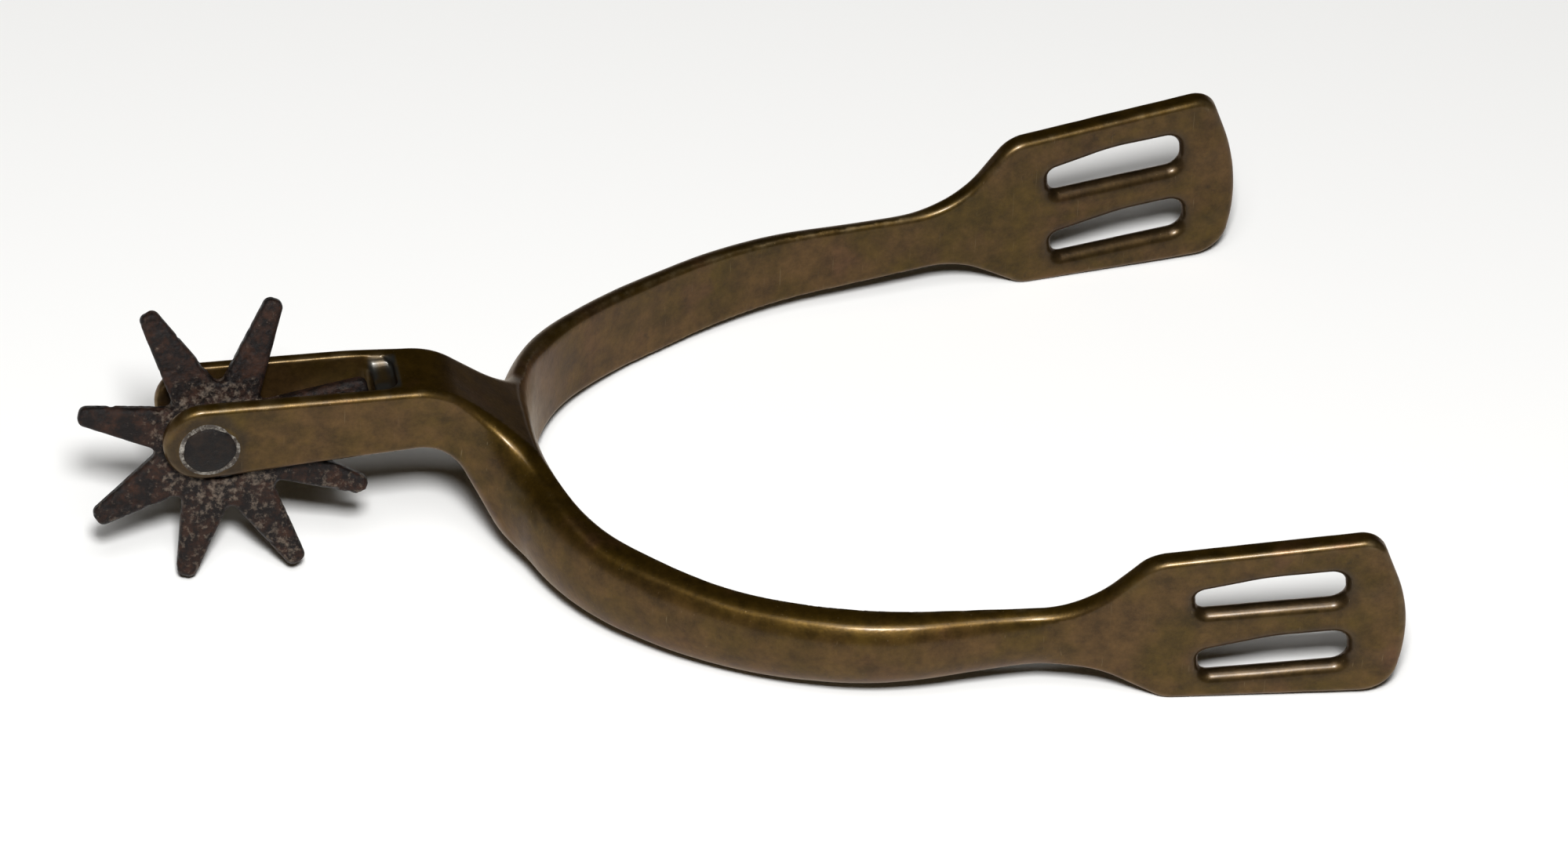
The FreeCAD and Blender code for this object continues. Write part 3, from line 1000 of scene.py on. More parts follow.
def iron_material(finish: IronFinish) -> bpy.types.Material:
    """Rusted iron: dark skin, rust speckles and pale scale in flecks, with more near the hub.

    Args:
        finish: The colours and amounts.

    Returns:
        The material.
    """
    material = bpy.data.materials.new(finish.name)
    material.use_nodes = True
    tree = material.node_tree
    tree.nodes.clear()
    nodes, links = tree.nodes, tree.links

    place = nodes.new("ShaderNodeTexCoord")
    place.label = "place on the iron"
    in_mm = nodes.new("ShaderNodeMapping")
    in_mm.label = "metres to millimetres"
    in_mm.inputs["Scale"].default_value = (1000.0, 1000.0, 1000.0)
    links.new(place.outputs["Object"], in_mm.inputs["Vector"])

    bloom = nodes.new("ShaderNodeTexNoise")
    bloom.label = "rust bloom"
    bloom.inputs["Scale"].default_value = 0.55
    bloom.inputs["Detail"].default_value = 8.0
    bloom.inputs["Roughness"].default_value = 0.72
    links.new(in_mm.outputs["Vector"], bloom.inputs["Vector"])
    bloom_range = nodes.new("ShaderNodeMapRange")
    bloom_range.label = "share of rust"
    bloom_range.inputs["From Min"].default_value = 0.46
    bloom_range.inputs["From Max"].default_value = 0.68
    links.new(bloom.outputs["Fac"], bloom_range.inputs["Value"])
    rusted = nodes.new("ShaderNodeMix")
    rusted.label = "iron to rust"
    rusted.data_type = "RGBA"
    rusted.inputs["A"].default_value = finish.iron
    rusted.inputs["B"].default_value = finish.rust
    links.new(bloom_range.outputs["Result"], rusted.inputs["Factor"])

    fleck = nodes.new("ShaderNodeTexNoise")
    fleck.label = "pale flecks"
    fleck.inputs["Scale"].default_value = 1.3
    fleck.inputs["Detail"].default_value = 8.0
    fleck.inputs["Roughness"].default_value = 0.68
    links.new(in_mm.outputs["Vector"], fleck.inputs["Vector"])
    hub = nodes.new("ShaderNodeAttribute")
    hub.label = "near the hub"
    hub.attribute_name = "hub"
    hub_lift = nodes.new("ShaderNodeMath")
    hub_lift.label = "more scale near the hub"
    hub_lift.operation = "MULTIPLY_ADD"
    hub_lift.inputs[1].default_value = 0.14
    links.new(hub.outputs["Fac"], hub_lift.inputs[0])
    links.new(fleck.outputs["Fac"], hub_lift.inputs[2])
    fleck_range = nodes.new("ShaderNodeMapRange")
    fleck_range.label = "where scale shows"
    fleck_range.inputs["From Min"].default_value = finish.scale_start
    fleck_range.inputs["From Max"].default_value = finish.scale_start + 0.2
    fleck_range.inputs["To Max"].default_value = 0.9
    links.new(hub_lift.outputs["Value"], fleck_range.inputs["Value"])
    scaled = nodes.new("ShaderNodeMix")
    scaled.label = "pale scale"
    scaled.data_type = "RGBA"
    scaled.inputs["B"].default_value = finish.scale
    links.new(fleck_range.outputs["Result"], scaled.inputs["Factor"])
    links.new(rusted.outputs["Result"], scaled.inputs["A"])

    gloss = nodes.new("ShaderNodeMapRange")
    gloss.label = "gloss"
    gloss.inputs["From Min"].default_value = 0.35
    gloss.inputs["From Max"].default_value = 0.65
    gloss.inputs["To Min"].default_value = finish.gloss_smooth
    gloss.inputs["To Max"].default_value = finish.gloss_rough
    links.new(bloom.outputs["Fac"], gloss.inputs["Value"])
    relief = nodes.new("ShaderNodeBump")
    relief.label = "pitted skin"
    relief.inputs["Strength"].default_value = finish.pit_depth
    relief.inputs["Distance"].default_value = 0.0003
    links.new(fleck.outputs["Fac"], relief.inputs["Height"])

    surface = nodes.new("ShaderNodeBsdfPrincipled")
    surface.label = "old iron"
    surface.inputs["Metallic"].default_value = 0.0
    surface.inputs["Specular IOR Level"].default_value = finish.specular
    links.new(scaled.outputs["Result"], surface.inputs["Base Color"])
    links.new(gloss.outputs["Result"], surface.inputs["Roughness"])
    links.new(relief.outputs["Normal"], surface.inputs["Normal"])
    output = nodes.new("ShaderNodeOutputMaterial")
    output.label = "iron"
    links.new(surface.outputs["BSDF"], output.inputs["Surface"])

    place_nodes({
        "place": [place, in_mm],
        "rust": [bloom, bloom_range, rusted],
        "pale scale": [fleck, hub, hub_lift, fleck_range, scaled],
        "relief and gloss": [gloss, relief],
        "iron": [surface, output],
    }, tree)
    return material


# --- The casting ---


@dataclass(frozen=True)
class Casting:
    """Heel band, arms, strap terminals, neck and fork, cast in one piece."""

    step: float = 0.4
    low: tuple[float, ...] = (-45.2, -47.2, -20.0)
    high: tuple[float, ...] = (97.2, 47.2, 19.2)

    band_thickness: float = 4.5
    left_thinner: float = 0.6
    left_thinning: Span = Span(0.0, 16.0)
    heel_thicker: float = 1.1
    heel_reach: float = 13.0
    heel_thinning: Span = Span(-2.0, 8.0)
    terminal_thickness: float = 2.8
    thinning: Span = Span(30.0, 54.0)
    band_crown: float = 3.5
    crown_fade: Span = Span(50.0, 67.0)
    arm_middle: float = -6.8
    heel_lift: float = 5.7
    arm_half_height: float = 4.4
    heel_half_height: float = 2.6
    heel_half_reach: float = 25.0
    plate_half_height: float = 9.0
    plate_widening: Span = Span(52.0, 70.0)
    least_size: float = 0.05
    least_slope: float = 0.02

    edge_round: float = 0.95
    heel_round: float = 0.3
    heel_round_reach: float = 9.0
    heel_round_start: Span = Span(-14.0, -6.0)
    neck_half_width: float = 4.9
    neck_blend: float = 8.5
    left_neck_blend: float = 5.0
    neck_change: Span = Span(-3.0, 3.0)
    fork_gap_half: float = 3.1
    fork_root: float = -15.6
    fork_root_round: float = 1.6
    fork_rim: float = 0.45
    cheek_top: float = 15.5
    ledge_length: float = 2.6
    ledge_drop: float = 1.3
    pin_radius: float = 1.5
    pin_place: tuple[float, float] = (-38.6, 11.7)

    terminal_middle: float = -6.75
    slot_rise: float = 4.7
    slot_rear: float = 70.9
    slot_front: float = 88.1
    slot_half_width: float = 2.2
    slot_taper: float = 1.3
    slot_rear_round: float = 1.25
    slot_front_round: float = 1.85
    slot_belly_round: float = 30.0
    slot_rim: float = 1.75
    bulge_place: float = 91.3
    bulge_height: float = 0.3
    bulge_reach: float = 1.7

    bent_arm: Span = Span(5.0, 30.0)
    bent_nose: Span = Span(58.0, 92.0)
    bent_plate: Span = Span(58.0, 68.0)
    bent_upper: Span = Span(-9.0, 3.0)
    bent_cheek: Span = Span(12.0, 22.0)
    left_cheek: Span = Span(0.0, 3.0)
    nose_shift: float = 0.25
    nose_spread: float = 0.3
    left_plate_rise: float = 0.4
    right_plate_drop: float = 0.7
    left_cheek_rise: float = 0.45
    broad_swell: Relief = Relief(7.0, 3, 0.045)
    fine_swell: Relief = Relief(2.6, 11, 0.02)

    wear_passes: int = 6
    worn_edge: Span = Span(0.08, 0.32)
    deep_hollow: Span = Span(0.04, 0.2)
    # How far a surface faces up, which sets the painted shade on the tops.
    painted_top_shade: Span = Span(0.1, 0.85)
    lip: Span = Span(0.0, 2.4)
    lip_grime: float = 0.72
    stain_start: Span = Span(3.2, 3.9)
    stain_end: Span = Span(4.2, 5.4)
    stain_grime: float = 0.75
    stain_edge: Relief = Relief(1.6, 13, 0.7)
    bare_start: float = 0.5
    bare_end: float = 0.4
    bare_width: Span = Span(2.7, 3.4)
    bare_height: Span = Span(-3.0, -1.4)
    bare_patches: Relief = Relief(1.2, 17)
    bare_edge: Span = Span(-0.4, 0.3)
    bare_least: float = 0.3

    def side_outline(self) -> Outline:
        """The casting seen from the side: forward, up.

        Returns:
            Clockwise from the top of the fork's end: the neck, the arm's top, the terminal, the
            arm's underside, the heel and the fork's underside.
        """
        return Outline([
            Corner(-43.9, 17.8, 4.9), Corner(-10.8, 15.0, 9.0), Corner(4.0, 2.6, 11.0),
            Corner(18.0, -0.4, 40.0), Corner(58.3, -3.3, 12.0), Corner(66.2, 4.2, 5.0),
            Corner(92.4, 5.0, 3.0), Corner(95.8, -7.5, 24.0), Corner(92.9, -18.3, 4.5),
            Corner(66.5, -16.7, 4.0), Corner(58.3, -11.1, 12.0), Corner(20.0, -11.5, 40.0),
            Corner(-4.9, -6.9, 7.0), Corner(-10.6, 6.8, 6.0), Corner(-43.9, 7.3, 4.9),
        ])

    def heel_line(self) -> Outline:
        """The inside of the band seen from above, from the heel seat forward: forward, outward."""
        return Outline([Corner(0.0, 0.0), Corner(0.0, 14.5, 28.5), Corner(23.5, 35.9, 55.0),
                        Corner(97.0, 43.4)], closed=False)

    def slot_outline(self, level: Level) -> Outline:
        """One strap slot seen from the side, round in front and tapered behind.

        Args:
            level: Which of the two slots.

        Returns:
            The slot's outline, clockwise: forward, up.
        """
        middle = self.terminal_middle + level.value * self.slot_rise
        top, bottom = middle + self.slot_half_width, middle - self.slot_half_width
        belly = (self.slot_rear + self.slot_front) / 2
        return Outline([
            Corner(self.slot_rear, top - self.slot_taper, self.slot_rear_round),
            Corner(belly, top, self.slot_belly_round),
            Corner(self.slot_front, top, self.slot_front_round),
            Corner(self.slot_front, bottom, self.slot_front_round),
            Corner(self.slot_rear, bottom, self.slot_rear_round),
        ])

    def mid_height(self, reach: np.ndarray) -> np.ndarray:
        """Height of the middle of the band's section, sinking from the heel to the arms."""
        return self.arm_middle + self.heel_lift * np.exp(-reach / self.heel_reach)

    def half_height(self, reach: np.ndarray) -> np.ndarray:
        """Half the height of the band's dome: less along the arms, beyond the terminals' edges."""
        return (self.arm_half_height + self.heel_half_height * np.exp(-reach / self.heel_half_reach)
                + self.plate_half_height * self.plate_widening.rise(reach))

    def domed(self, offset: np.ndarray, reach: np.ndarray, y: np.ndarray,
              z: np.ndarray) -> np.ndarray:
        """Distance outside the band's domed outer face.

        The band is flat inside and half round outside: beyond a thin base its section is half an
        ellipse, as high as the band and as deep as its crown.  With k the length of the vector
        (depth / crown, rise / half height), the distance is (k - 1) over the slope of k.  Towards
        the terminals the dome fades into a flat face.

        Args:
            offset: Distance outside the heel line.
            reach: How far forward the nearest point of the heel line lies.
            y: To the left.
            z: Height.

        Returns:
            Millimetres outside the dome, less than nothing inside.
        """
        heel = (self.heel_thicker * np.exp(-np.square(reach / self.heel_reach))
                * (1.0 - self.heel_thinning.rise(y)))
        band = self.band_thickness + heel - self.left_thinner * self.left_thinning.rise(y)
        thickness = band + (self.terminal_thickness - band) * self.thinning.rise(reach)
        faded = self.crown_fade.rise(reach)
        half = self.half_height(reach)
        depth = np.maximum(offset - thickness + self.band_crown, 0.0) / self.band_crown
        rise = (z - self.mid_height(reach)) / half
        size = np.maximum(np.hypot(depth, rise), self.least_size)
        steepness = np.maximum(np.hypot(depth / self.band_crown, rise / half) / size,
                               self.least_slope)
        return (1.0 - faded) * (size - 1.0) / steepness + faded * (offset - thickness)

    def shape(self, x: np.ndarray, y: np.ndarray, z: np.ndarray) -> np.ndarray:
        """Distance outside the casting.

        The wall is what lies between the heel line and the band's domed outer face.  The neck
        joins it in a hollow fillet.  What is inside both this plan and the side outline, with
        rounded edges, loses the fork's gap, the strap slots and the pin's hole.

        Args:
            x: Forward.
            y: To the left.
            z: Up.

        Returns:
            Millimetres outside the surface, less than nothing inside.
        """
        offset, reach = self.heel_line().measure(x, np.abs(y))
        outline = self.side_outline().measure(x, z)[0]
        blend = (self.neck_blend
                 + (self.left_neck_blend - self.neck_blend) * self.neck_change.rise(y))
        plan = np.maximum(-offset, round_min(self.domed(offset, reach, y, z),
                                             np.abs(y) - self.neck_half_width, blend))
        softer = (self.heel_round * np.exp(-np.square(reach / self.heel_round_reach))
                  * self.heel_round_start.rise(x))
        body = round_max(plan, outline, self.edge_round + softer)
        ledge = round_max(x - self.fork_root, self.cheek_top - self.ledge_drop - z, self.fork_rim)
        root = round_min(x - self.fork_root + self.ledge_length, ledge, self.fork_rim)
        gap = round_max(root, np.abs(y) - self.fork_gap_half, self.fork_root_round)
        body = round_max(body, -gap, self.fork_rim)
        for level in Level:
            body = round_max(body, -self.slot_outline(level).measure(x, z)[0], self.slot_rim)
        bore = self.pin_radius - np.hypot(x - self.pin_place[0], z - self.pin_place[1])
        return np.maximum(body, bore)

    def out_of_true(self, points: np.ndarray) -> np.ndarray:
        """How far each point of the old casting lies from where a true one would have it.

        Args:
            points: Points of the true casting.

        Returns:
            The shifts: the right terminal is bent forward and outward and filed lower, the left
            one stands higher, and so does the left cheek.
        """
        x, y, z = points.T
        right, left = self.bent_arm.rise(-y), self.bent_arm.rise(y)
        nose = self.bent_nose.rise(x)
        plate = self.bent_upper.rise(z) * self.bent_plate.rise(x)
        cheek = self.bent_cheek.rise(-x) * self.left_cheek.rise(y)
        return np.stack([
            self.nose_shift * (right - left) * nose,
            -self.nose_spread * right * nose,
            plate * (self.left_plate_rise * left - self.right_plate_drop * right)
            + self.left_cheek_rise * cheek,
        ], axis=1)

    def aged(self, x: np.ndarray, y: np.ndarray, z: np.ndarray) -> np.ndarray:
        """Distance outside the casting as it is now: out of true and filed by hand.

        The true formula is worked out at the place from which each point was bent, and less is
        taken off where the hand-filed skin swells: everywhere a little, and in front of each slot.

        Args:
            x: Forward.
            y: To the left.
            z: Up.

        Returns:
            Millimetres outside the surface, less than nothing inside.
        """
        points = np.stack([x, y, z], axis=1)
        swell = self.broad_swell.at(points) + self.fine_swell.at(points)
        for level in Level:
            away = np.hypot(x - self.bulge_place,
                            z - self.terminal_middle - level.value * self.slot_rise)
            swell = swell + self.bulge_height * np.exp(-np.square(away / self.bulge_reach))
        return self.shape(*(points - self.out_of_true(points)).T) - swell

    def surface(self) -> Surface:
        """Cast the true shape, bend it and settle it on its filed skin.

        Returns:
            The casting's surface, facing up the slope of its formula.
        """
        surface = cast_surface(self.shape, self.low, self.high, self.step)
        surface.points = settle(surface.points + self.out_of_true(surface.points), self.aged)
        facing = slope(surface.points, self.aged)
        surface.facing = facing / np.linalg.norm(facing, axis=1)[:, None]
        return surface

    def bare_metal(self, points: np.ndarray) -> np.ndarray:
        """How bare the rowel has rubbed the ledge at the fork's root.

        Args:
            points: Points of the casting.

        Returns:
            From 0 to 1, in patches.
        """
        forward = points[:, 0] - self.fork_root
        reached = Span(-self.ledge_length - self.bare_start, -self.ledge_length).rise(forward)
        patches = (self.bare_least + (1.0 - self.bare_least)
                   * self.bare_edge.rise(self.bare_patches.at(points)))
        return (reached * (forward < self.bare_end) * patches
                * (1.0 - self.bare_width.rise(np.abs(points[:, 1])))
                * self.bare_height.rise(points[:, 2] - self.cheek_top))

    def dress(self, surface: Surface) -> None:
        """Work out where the casting is worn, grimy and bare, and how far it faces up for the
        painted shade on its tops, from 0 to 1.

        Args:
            surface: The casting's surface, which takes the values.
        """
        points = surface.points
        true = points - self.out_of_true(points)
        slots = [self.slot_outline(level).measure(true[:, 0], true[:, 2])[0] for level in Level]
        lip = 1.0 - self.lip.rise(np.minimum(*slots))
        away = np.hypot(points[:, 0] - self.pin_place[0], points[:, 2] - self.pin_place[1])
        stain = ((1.0 - self.stain_end.rise(away + self.stain_edge.at(points)))
                 * self.stain_start.rise(away))
        proud = surface.sharpness(self.wear_passes)
        grime = np.maximum(self.lip_grime * lip, self.stain_grime * stain)
        surface.values["edge_wear"] = self.worn_edge.rise(proud) * (1.0 - lip)
        surface.values["hollow"] = np.maximum(self.deep_hollow.rise(-proud), grime)
        # How far each point faces up, for the painted shade that darkens the tops in the brass.
        surface.values["facing_up"] = self.painted_top_shade.rise(surface.facing[:, 2])
        surface.values["bare"] = self.bare_metal(points)

    def build(self, stance: Stance) -> bpy.types.Object:
        """Build the casting, dress it in old brass and put it in the CAD body's place.

        Args:
            stance: The pitch of the casting.

        Returns:
            The piece.
        """
        surface = self.surface()
        self.dress(surface)
        brass = brass_material(BrassFinish())
        casting = make_piece("casting", surface, stance, brass, Carrier.SPUR)
        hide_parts("spur_body")
        return casting


# --- The rowel ---


@dataclass(frozen=True)
class Point:
    """One point of the rowel and the valley after it, as angles from the top and reaches."""

    angle: float
    reach: float
    valley_angle: float
    valley_reach: float


@dataclass(frozen=True)
class Rowel:
    """The loose iron rowel, hand-filed, with points that differ and a worn hole."""

    step: float = 0.19
    half_size: tuple[float, float, float] = (19.6, 1.6, 19.6)
    hole_radius: float = 4.4
    thickness: float = 2.2
    tip_thickness: float = 1.9
    thinning: Span = Span(8.0, 17.0)
    rim_round: float = 0.75
    tip_width: float = 2.3
    tip_round: float = 1.05
    valley_round: float = 0.7
    points: tuple[Point, ...] = (
        Point(28.2, 18.6, 51.5, 6.6), Point(77.2, 18.7, 98.5, 7.5), Point(117.1, 18.6, 135.3, 7.8),
        Point(155.9, 18.1, 178.1, 7.6), Point(201.0, 17.3, 222.5, 7.7),
        Point(244.9, 17.4, 269.5, 7.2), Point(289.7, 17.1, 316.0, 6.9),
        Point(339.0, 18.2, 367.5, 6.9),
    )
    coarse_rust: Relief = Relief(1.9, 5)
    fine_rust: Relief = Relief(0.75, 8)
    rust_mix: float = 0.6
    pitted: Span = Span(0.15, 0.75)
    skin_loss: float = 0.05
    pit_depth: float = 0.2
    grain_height: float = 0.03
    hub: Span = Span(6.0, 10.5)
    lower: Span = Span(2.0, 9.0)
    lower_share: float = 0.62

    def star(self) -> Outline:
        """The rowel's outline about its own axis, clockwise: across, up.

        Returns:
            Two rounded corners at each point's tip, and one in each valley.
        """
        corners = []
        for point in self.points:
            half = math.degrees(self.tip_width / 2 / point.reach)
            for degrees, reach, radius in (
                    (point.angle - half, point.reach, self.tip_round),
                    (point.angle + half, point.reach, self.tip_round),
                    (point.valley_angle, point.valley_reach, self.valley_round)):
                angle = math.radians(degrees)
                corners.append(Corner(reach * math.sin(angle), reach * math.cos(angle), radius))
        return Outline(corners)

    def shape(self, x: np.ndarray, y: np.ndarray, z: np.ndarray) -> np.ndarray:
        """Distance outside the rowel, about its own axis.

        It is what lies inside the star, outside the worn hole and within half the thickness, which
        shrinks towards the tips, with rounded rims.

        Args:
            x: Across.
            y: Along the rowel's axis.
            z: Up.

        Returns:
            Millimetres outside the surface, less than nothing inside.
        """
        reach = np.hypot(x, z)
        thinner = (self.thickness - self.tip_thickness) * self.thinning.rise(reach)
        flat = np.maximum(self.star().measure(x, z)[0], self.hole_radius - reach)
        return round_max(flat, np.abs(y) - (self.thickness - thinner) / 2, self.rim_round)

    def surface(self) -> Surface:
        """The rowel's surface about its own axis, pitted by rust, with the values it is dressed by.

        Returns:
            The closed surface.
        """
        low = tuple(-size for size in self.half_size)
        surface = cast_surface(self.shape, low, self.half_size, self.step)
        points = surface.points
        fine = self.fine_rust.at(points)
        pits = self.pitted.rise(self.rust_mix * (self.coarse_rust.at(points) + fine))
        surface.push(self.grain_height * fine - self.skin_loss - self.pit_depth * pits)
        reach = np.hypot(points[:, 0], points[:, 2])
        surface.values["hub"] = np.maximum(1.0 - self.hub.rise(reach),
                                           self.lower_share * self.lower.rise(-points[:, 2]))
        return surface

    def axes(self, joint: dict, stance: Stance) -> tuple[np.ndarray, np.ndarray]:
        """Where the rowel's own frame lies in the level frame.

        Args:
            joint: The record's joint that spins the rowel.
            stance: The pitch of the casting.

        Returns:
            The rowel's middle, and a matrix whose columns are its across, axis and up directions.
        """
        middle = stance.lay(np.array(joint["pos_m"]))
        axis = np.array(joint["axis"]) @ stance.matrix()
        axis = axis / np.linalg.norm(axis)
        across = np.array((1.0, 0.0, 0.0)) - axis[0] * axis
        across = across / np.linalg.norm(across)
        return middle, np.stack([across, axis, np.cross(across, axis)], axis=1)

    def build(self, stance: Stance) -> bpy.types.Object:
        """Build the rowel, dress it in rusted iron and set it on its joint.

        Args:
            stance: The pitch of the casting.

        Returns:
            The piece.
        """
        joint = next(item for item in frame["joints"] if item["name"] == "rowel_spin")
        middle, turn = self.axes(joint, stance)
        star = self.surface()
        star.points = star.points @ turn.T + middle
        rowel = make_piece("rowel_star", star, stance, iron_material(ROWEL_FINISH), Carrier.ROWEL)
        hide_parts("rowel")
        return rowel


# --- The pin ---


@dataclass(frozen=True)
class Pin:
    """The riveted pin with a peened head outside each cheek, and the crust round each head."""

    stations: int = 96
    radius: float = 1.5
    head_radius: float = 3.15
    head_face: float = 5.4
    dome: tuple[tuple[float, float], ...] = ((0.0, 0.0), (0.9, 0.0), (1.8, -0.02), (2.4, -0.06),
                                             (2.75, -0.14), (3.0, -0.26))
    rim_top: float = -0.45
    rim_bottom: float = -0.62
    head_underside: float = -0.8
    shank_top: float = -0.82
    undercut: float = 0.1
    bulges: tuple[Wave, ...] = (Wave(0.07, 3, drift=0.5), Wave(0.05, 7, start=1.3))
    dimples: Wave = Wave(0.03, 5, drift=1.0)
    cheek: float = 4.9
    crust_stations: int = 160
    crust_rounds: int = 10
    crust_inner: float = 2.8
    crust_width: float = 1.2
    crust_height: float = 0.28
    crust_sunk: float = 0.06
    crust_least_width: float = 0.4
    crust_least_height: float = 0.25
    crust_lumps: Relief = Relief(0.9, 21, 0.5)
    crust_drift: Relief = Relief(2.6, 4, 0.5)
    crust_sample: tuple[float, float] = (3.4, 9.0)

    def head_rows(self) -> list[tuple[float, float]]:
        """One head's profile from the axis outwards.

        Returns:
            Radius and height above the head's face: the dome, the rim and the shank under it.
        """
        return [*self.dome, (self.head_radius, self.rim_top), (self.head_radius, self.rim_bottom),
                (self.head_radius - self.undercut, self.head_underside),
                (self.radius, self.shank_top)]

    def hammered(self, angle: np.ndarray, place: np.ndarray) -> np.ndarray:
        """Waves round the heads: a few broad ones in radius, finer ones in height.

        Args:
            angle: Angles round the pin, in a column.
            place: Numbers of the profile's rows, in a row.

        Returns:
            The change of radius and of height for each angle and row.
        """
        half = len(self.head_rows())
        on_head = np.where((place < half - 2) | (place > half), 1.0, 0.0)
        bulge = sum(wave.at(angle, place) for wave in self.bulges)
        dimple = self.dimples.at(angle, place) - self.dimples.height
        dimple = dimple * np.where(place < half, -1.0, 1.0)
        return np.stack([bulge * on_head, dimple * on_head], axis=-1)

    def surface(self) -> Surface:
        """The pin's surface about its own axis: a lathe profile with hammered heads.

        Returns:
            The closed surface.
        """
        head = self.head_rows()
        bottom = [(reach, -self.head_face - height) for reach, height in head]
        top = [(reach, self.head_face + height) for reach, height in reversed(head)]
        return turned_surface(np.array(bottom + top), self.stations, self.hammered)

    def crust(self, side: Side) -> Surface:
        """The uneven bead of pale corrosion between a head and its cheek.

        The bead is a function of the turn angle a and of the angle b round its own section: the
        section is an ellipse as wide as the crust, low, and of a height that varies round the head.

        Args:
            side: The side of the casting.

        Returns:
            The closed ring.
        """
        turn = np.linspace(0.0, 2.0 * math.pi, self.crust_stations, endpoint=False)[:, None]
        around = np.linspace(0.0, 2.0 * math.pi, self.crust_rounds, endpoint=False)[None, :]
        radius, height = self.crust_sample
        circle = np.concatenate([radius * np.sin(turn), np.full_like(turn, side.value * height),
                                 radius * np.cos(turn)], axis=1)
        lumps = 0.5 + self.crust_lumps.at(circle)[:, None]
        drift = 0.5 + self.crust_drift.at(circle)[:, None]
        broad = self.crust_least_width + (1.0 - self.crust_least_width) * drift
        tall = self.crust_least_height + (1.0 - self.crust_least_height) * lumps * broad
        reach = self.crust_inner + self.crust_width * broad / 2 * (1.0 - np.cos(around))
        lift = self.cheek - self.crust_sunk + self.crust_height * tall * np.sin(around)
        grid = np.stack([reach * np.sin(turn), side.value * lift, reach * np.cos(turn)], axis=-1)
        faces = wrapped_faces(self.crust_stations, self.crust_rounds, True)
        if side is Side.RIGHT:
            faces = faces[:, [0, 3, 2, 1]]
        return Surface(grid.reshape(-1, 3), faces)

    def build(self, stance: Stance) -> list[bpy.types.Object]:
        """Build the rivet and both crusts, dress them and set them through the cheeks.

        Args:
            stance: The pitch of the casting.

        Returns:
            The pieces.
        """
        pin_low, pin_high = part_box("rowel_pin")
        seat = stance.lay((np.array(pin_low) + np.array(pin_high)) / 2)
        rivet = self.surface()
        rivet.points = rivet.points + seat
        pin = make_piece("rivet", rivet, stance, iron_material(PIN_FINISH), Carrier.SPUR)
        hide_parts("rowel_pin")
        pieces = [pin]
        crust_finish = iron_material(CRUST_FINISH)
        for side in Side:
            crust = self.crust(side)
            crust.points = crust.points + seat
            pieces.append(make_piece("crust_" + side.name.lower(), crust, stance, crust_finish,
                                     Carrier.SPUR))
        return pieces


# --- The studio ---


@dataclass(frozen=True)
class Lamp:
    """One soft square lamp, aimed at the middle of the spur."""

    name: str
    azimuth: float
    elevation: float
    distance: float
    size: float
    power: float


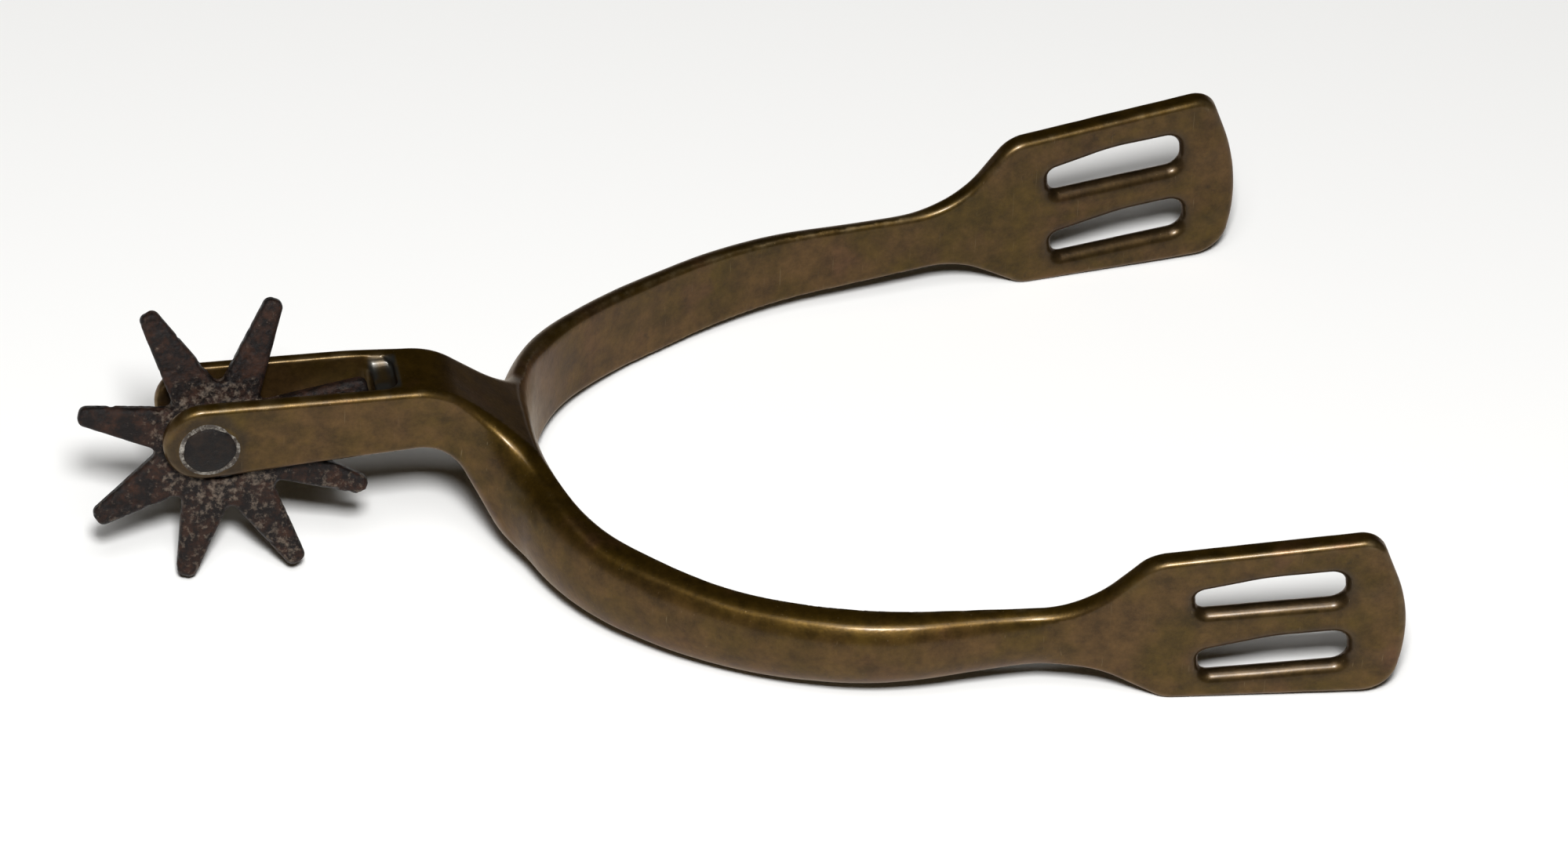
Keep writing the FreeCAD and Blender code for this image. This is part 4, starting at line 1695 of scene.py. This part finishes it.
@dataclass(frozen=True)
class Studio:
    """Camera, floor, lamps and surroundings."""

    lens: float = 198.902
    azimuth: float = -7.892
    elevation: float = 37.735
    roll: float = -3.904
    distance: float = 1034.58
    target: tuple[float, float, float] = (30.0, 0.0, -2.443)
    nearest: float = 0.05
    floor_reach: float = 3.0
    floor_colour: Colour = (0.90, 0.90, 0.89, 1.0)
    floor_rough: float = 0.9
    floor_specular: float = 0.1
    horizon: Colour = (0.10, 0.10, 0.097, 1.0)
    overhead: Colour = (0.017, 0.013, 0.007, 1.0)
    wall: Span = Span(0.05, 0.35)
    lamps: tuple[Lamp, ...] = (
        Lamp("key", -8.0, 48.0, 1.0, 0.15, 11.5),
        Lamp("fill", -8.0, 60.0, 1.2, 0.55, 5.5),
    )

    def direction(self, azimuth: float, elevation: float) -> np.ndarray:
        """The way from the spur to a camera or a lamp.

        Args:
            azimuth: Degrees round from the wearer's right side, towards the front.
            elevation: Degrees above the floor.

        Returns:
            A direction: (sin a cos e, -cos a cos e, sin e).
        """
        turn, rise = math.radians(azimuth), math.radians(elevation)
        return np.array((math.sin(turn) * math.cos(rise), -math.cos(turn) * math.cos(rise),
                         math.sin(rise)))

    def aim(self, back: np.ndarray, roll: float) -> np.ndarray:
        """Right, up and back directions of something that looks along -back, as columns.

        Args:
            back: The way from what it looks at to itself.
            roll: Turn about its own line of sight, in degrees.

        Returns:
            A turn matrix.
        """
        right = np.cross(-back, (0.0, 0.0, 1.0))
        right = right / np.linalg.norm(right)
        up = np.cross(right, -back)
        cosine, sine = math.cos(math.radians(roll)), math.sin(math.radians(roll))
        return np.stack([cosine * right + sine * up, cosine * up - sine * right, back], axis=1)

    def place(self, thing: bpy.types.Object, turn: np.ndarray, where: np.ndarray) -> None:
        """Put a camera or a lamp into the scene.

        Args:
            thing: The camera or lamp.
            turn: Its right, up and back directions, as columns.
            where: Its place, in metres.
        """
        matrix = np.eye(4)
        matrix[:3, :3] = turn
        matrix[:3, 3] = where
        thing.matrix_world = Matrix(matrix.tolist())
        bpy.context.scene.collection.objects.link(thing)

    def add_camera(self, stance: Stance) -> None:
        """Set up the camera, whose angles are kept in the level frame.

        Args:
            stance: The pitch of the casting.
        """
        data = bpy.data.cameras.new("camera")
        data.lens = self.lens
        data.sensor_width = SENSOR_WIDTH
        data.clip_start = self.nearest
        camera = bpy.data.objects.new("camera", data)
        back = self.direction(self.azimuth, self.elevation)
        where = np.array(self.target) + back * self.distance
        self.place(camera, stance.matrix() @ self.aim(back, self.roll), stance.stand(where))
        bpy.context.scene.camera = camera

    def add_floor(self, height: float) -> None:
        """Lay a plain pale floor under the spur.

        Args:
            height: Height that the spur stands on, in metres.
        """
        reach = self.floor_reach
        mesh = bpy.data.meshes.new("floor")
        mesh.from_pydata([(-reach, -reach, height), (reach, -reach, height),
                          (reach, reach, height), (-reach, reach, height)], [], [(0, 1, 2, 3)])
        material = bpy.data.materials.new("floor")
        material.use_nodes = True
        tree = material.node_tree
        tree.nodes.clear()
        board = tree.nodes.new("ShaderNodeBsdfPrincipled")
        board.label = "matt board"
        board.inputs["Base Color"].default_value = self.floor_colour
        board.inputs["Roughness"].default_value = self.floor_rough
        board.inputs["Specular IOR Level"].default_value = self.floor_specular
        output = tree.nodes.new("ShaderNodeOutputMaterial")
        output.label = "floor"
        tree.links.new(board.outputs["BSDF"], output.inputs["Surface"])
        place_nodes({"board": [board, output]}, tree)
        mesh.materials.append(material)
        floor = bpy.data.objects.new("floor", mesh)
        bpy.context.scene.collection.objects.link(floor)
        floor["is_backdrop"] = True

    def add_lamps(self) -> None:
        """Hang the soft lamps."""
        for lamp in self.lamps:
            data = bpy.data.lights.new(lamp.name, "AREA")
            data.shape = "SQUARE"
            data.size = lamp.size
            data.energy = lamp.power
            light = bpy.data.objects.new(lamp.name, data)
            back = self.direction(lamp.azimuth, lamp.elevation)
            self.place(light, self.aim(back, 0.0), back * lamp.distance)

    def add_surroundings(self) -> None:
        """A pale horizon under a dim ceiling."""
        world = bpy.data.worlds.new("studio")
        world.use_nodes = True
        tree = world.node_tree
        tree.nodes.clear()
        nodes, links = tree.nodes, tree.links
        way = nodes.new("ShaderNodeTexCoord")
        way.label = "way out of the studio"
        split = nodes.new("ShaderNodeSeparateXYZ")
        split.label = "how steep"
        rise = nodes.new("ShaderNodeMapRange")
        rise.label = "horizon to ceiling"
        rise.interpolation_type = "SMOOTHSTEP"
        rise.inputs["From Min"].default_value = self.wall.start
        rise.inputs["From Max"].default_value = self.wall.end
        blend = nodes.new("ShaderNodeMix")
        blend.label = "wall and ceiling"
        blend.data_type = "RGBA"
        blend.inputs["A"].default_value = self.horizon
        blend.inputs["B"].default_value = self.overhead
        glow = nodes.new("ShaderNodeBackground")
        glow.label = "glow"
        output = nodes.new("ShaderNodeOutputWorld")
        output.label = "studio"
        links.new(way.outputs["Generated"], split.inputs["Vector"])
        links.new(split.outputs["Z"], rise.inputs["Value"])
        links.new(rise.outputs["Result"], blend.inputs["Factor"])
        links.new(blend.outputs["Result"], glow.inputs["Color"])
        links.new(glow.outputs["Background"], output.inputs["Surface"])
        place_nodes({"studio": [way, split, rise, blend, glow, output]}, tree)
        bpy.context.scene.world = world

    def build(self, stance: Stance, height: float) -> None:
        """Set up everything round the spur.

        Args:
            stance: The pitch of the casting.
            height: Height of the floor, in metres.
        """
        bpy.context.scene.view_settings.view_transform = "Standard"
        self.add_camera(stance)
        self.add_floor(height)
        self.add_lamps()
        self.add_surroundings()


# --- Putting it together ---


def main() -> None:
    """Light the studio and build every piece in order."""
    low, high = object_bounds()
    stance = Stance.from_record(frame["record"])
    Studio().build(stance, low[2])
    pieces = [Casting().build(stance), Rowel().build(stance), *Pin().build(stance)]
    for piece in pieces:
        LOG.info("%s: %d points, %d faces", piece.name, len(piece.data.vertices),
                 len(piece.data.polygons))


if __name__ == "__main__":
    main()
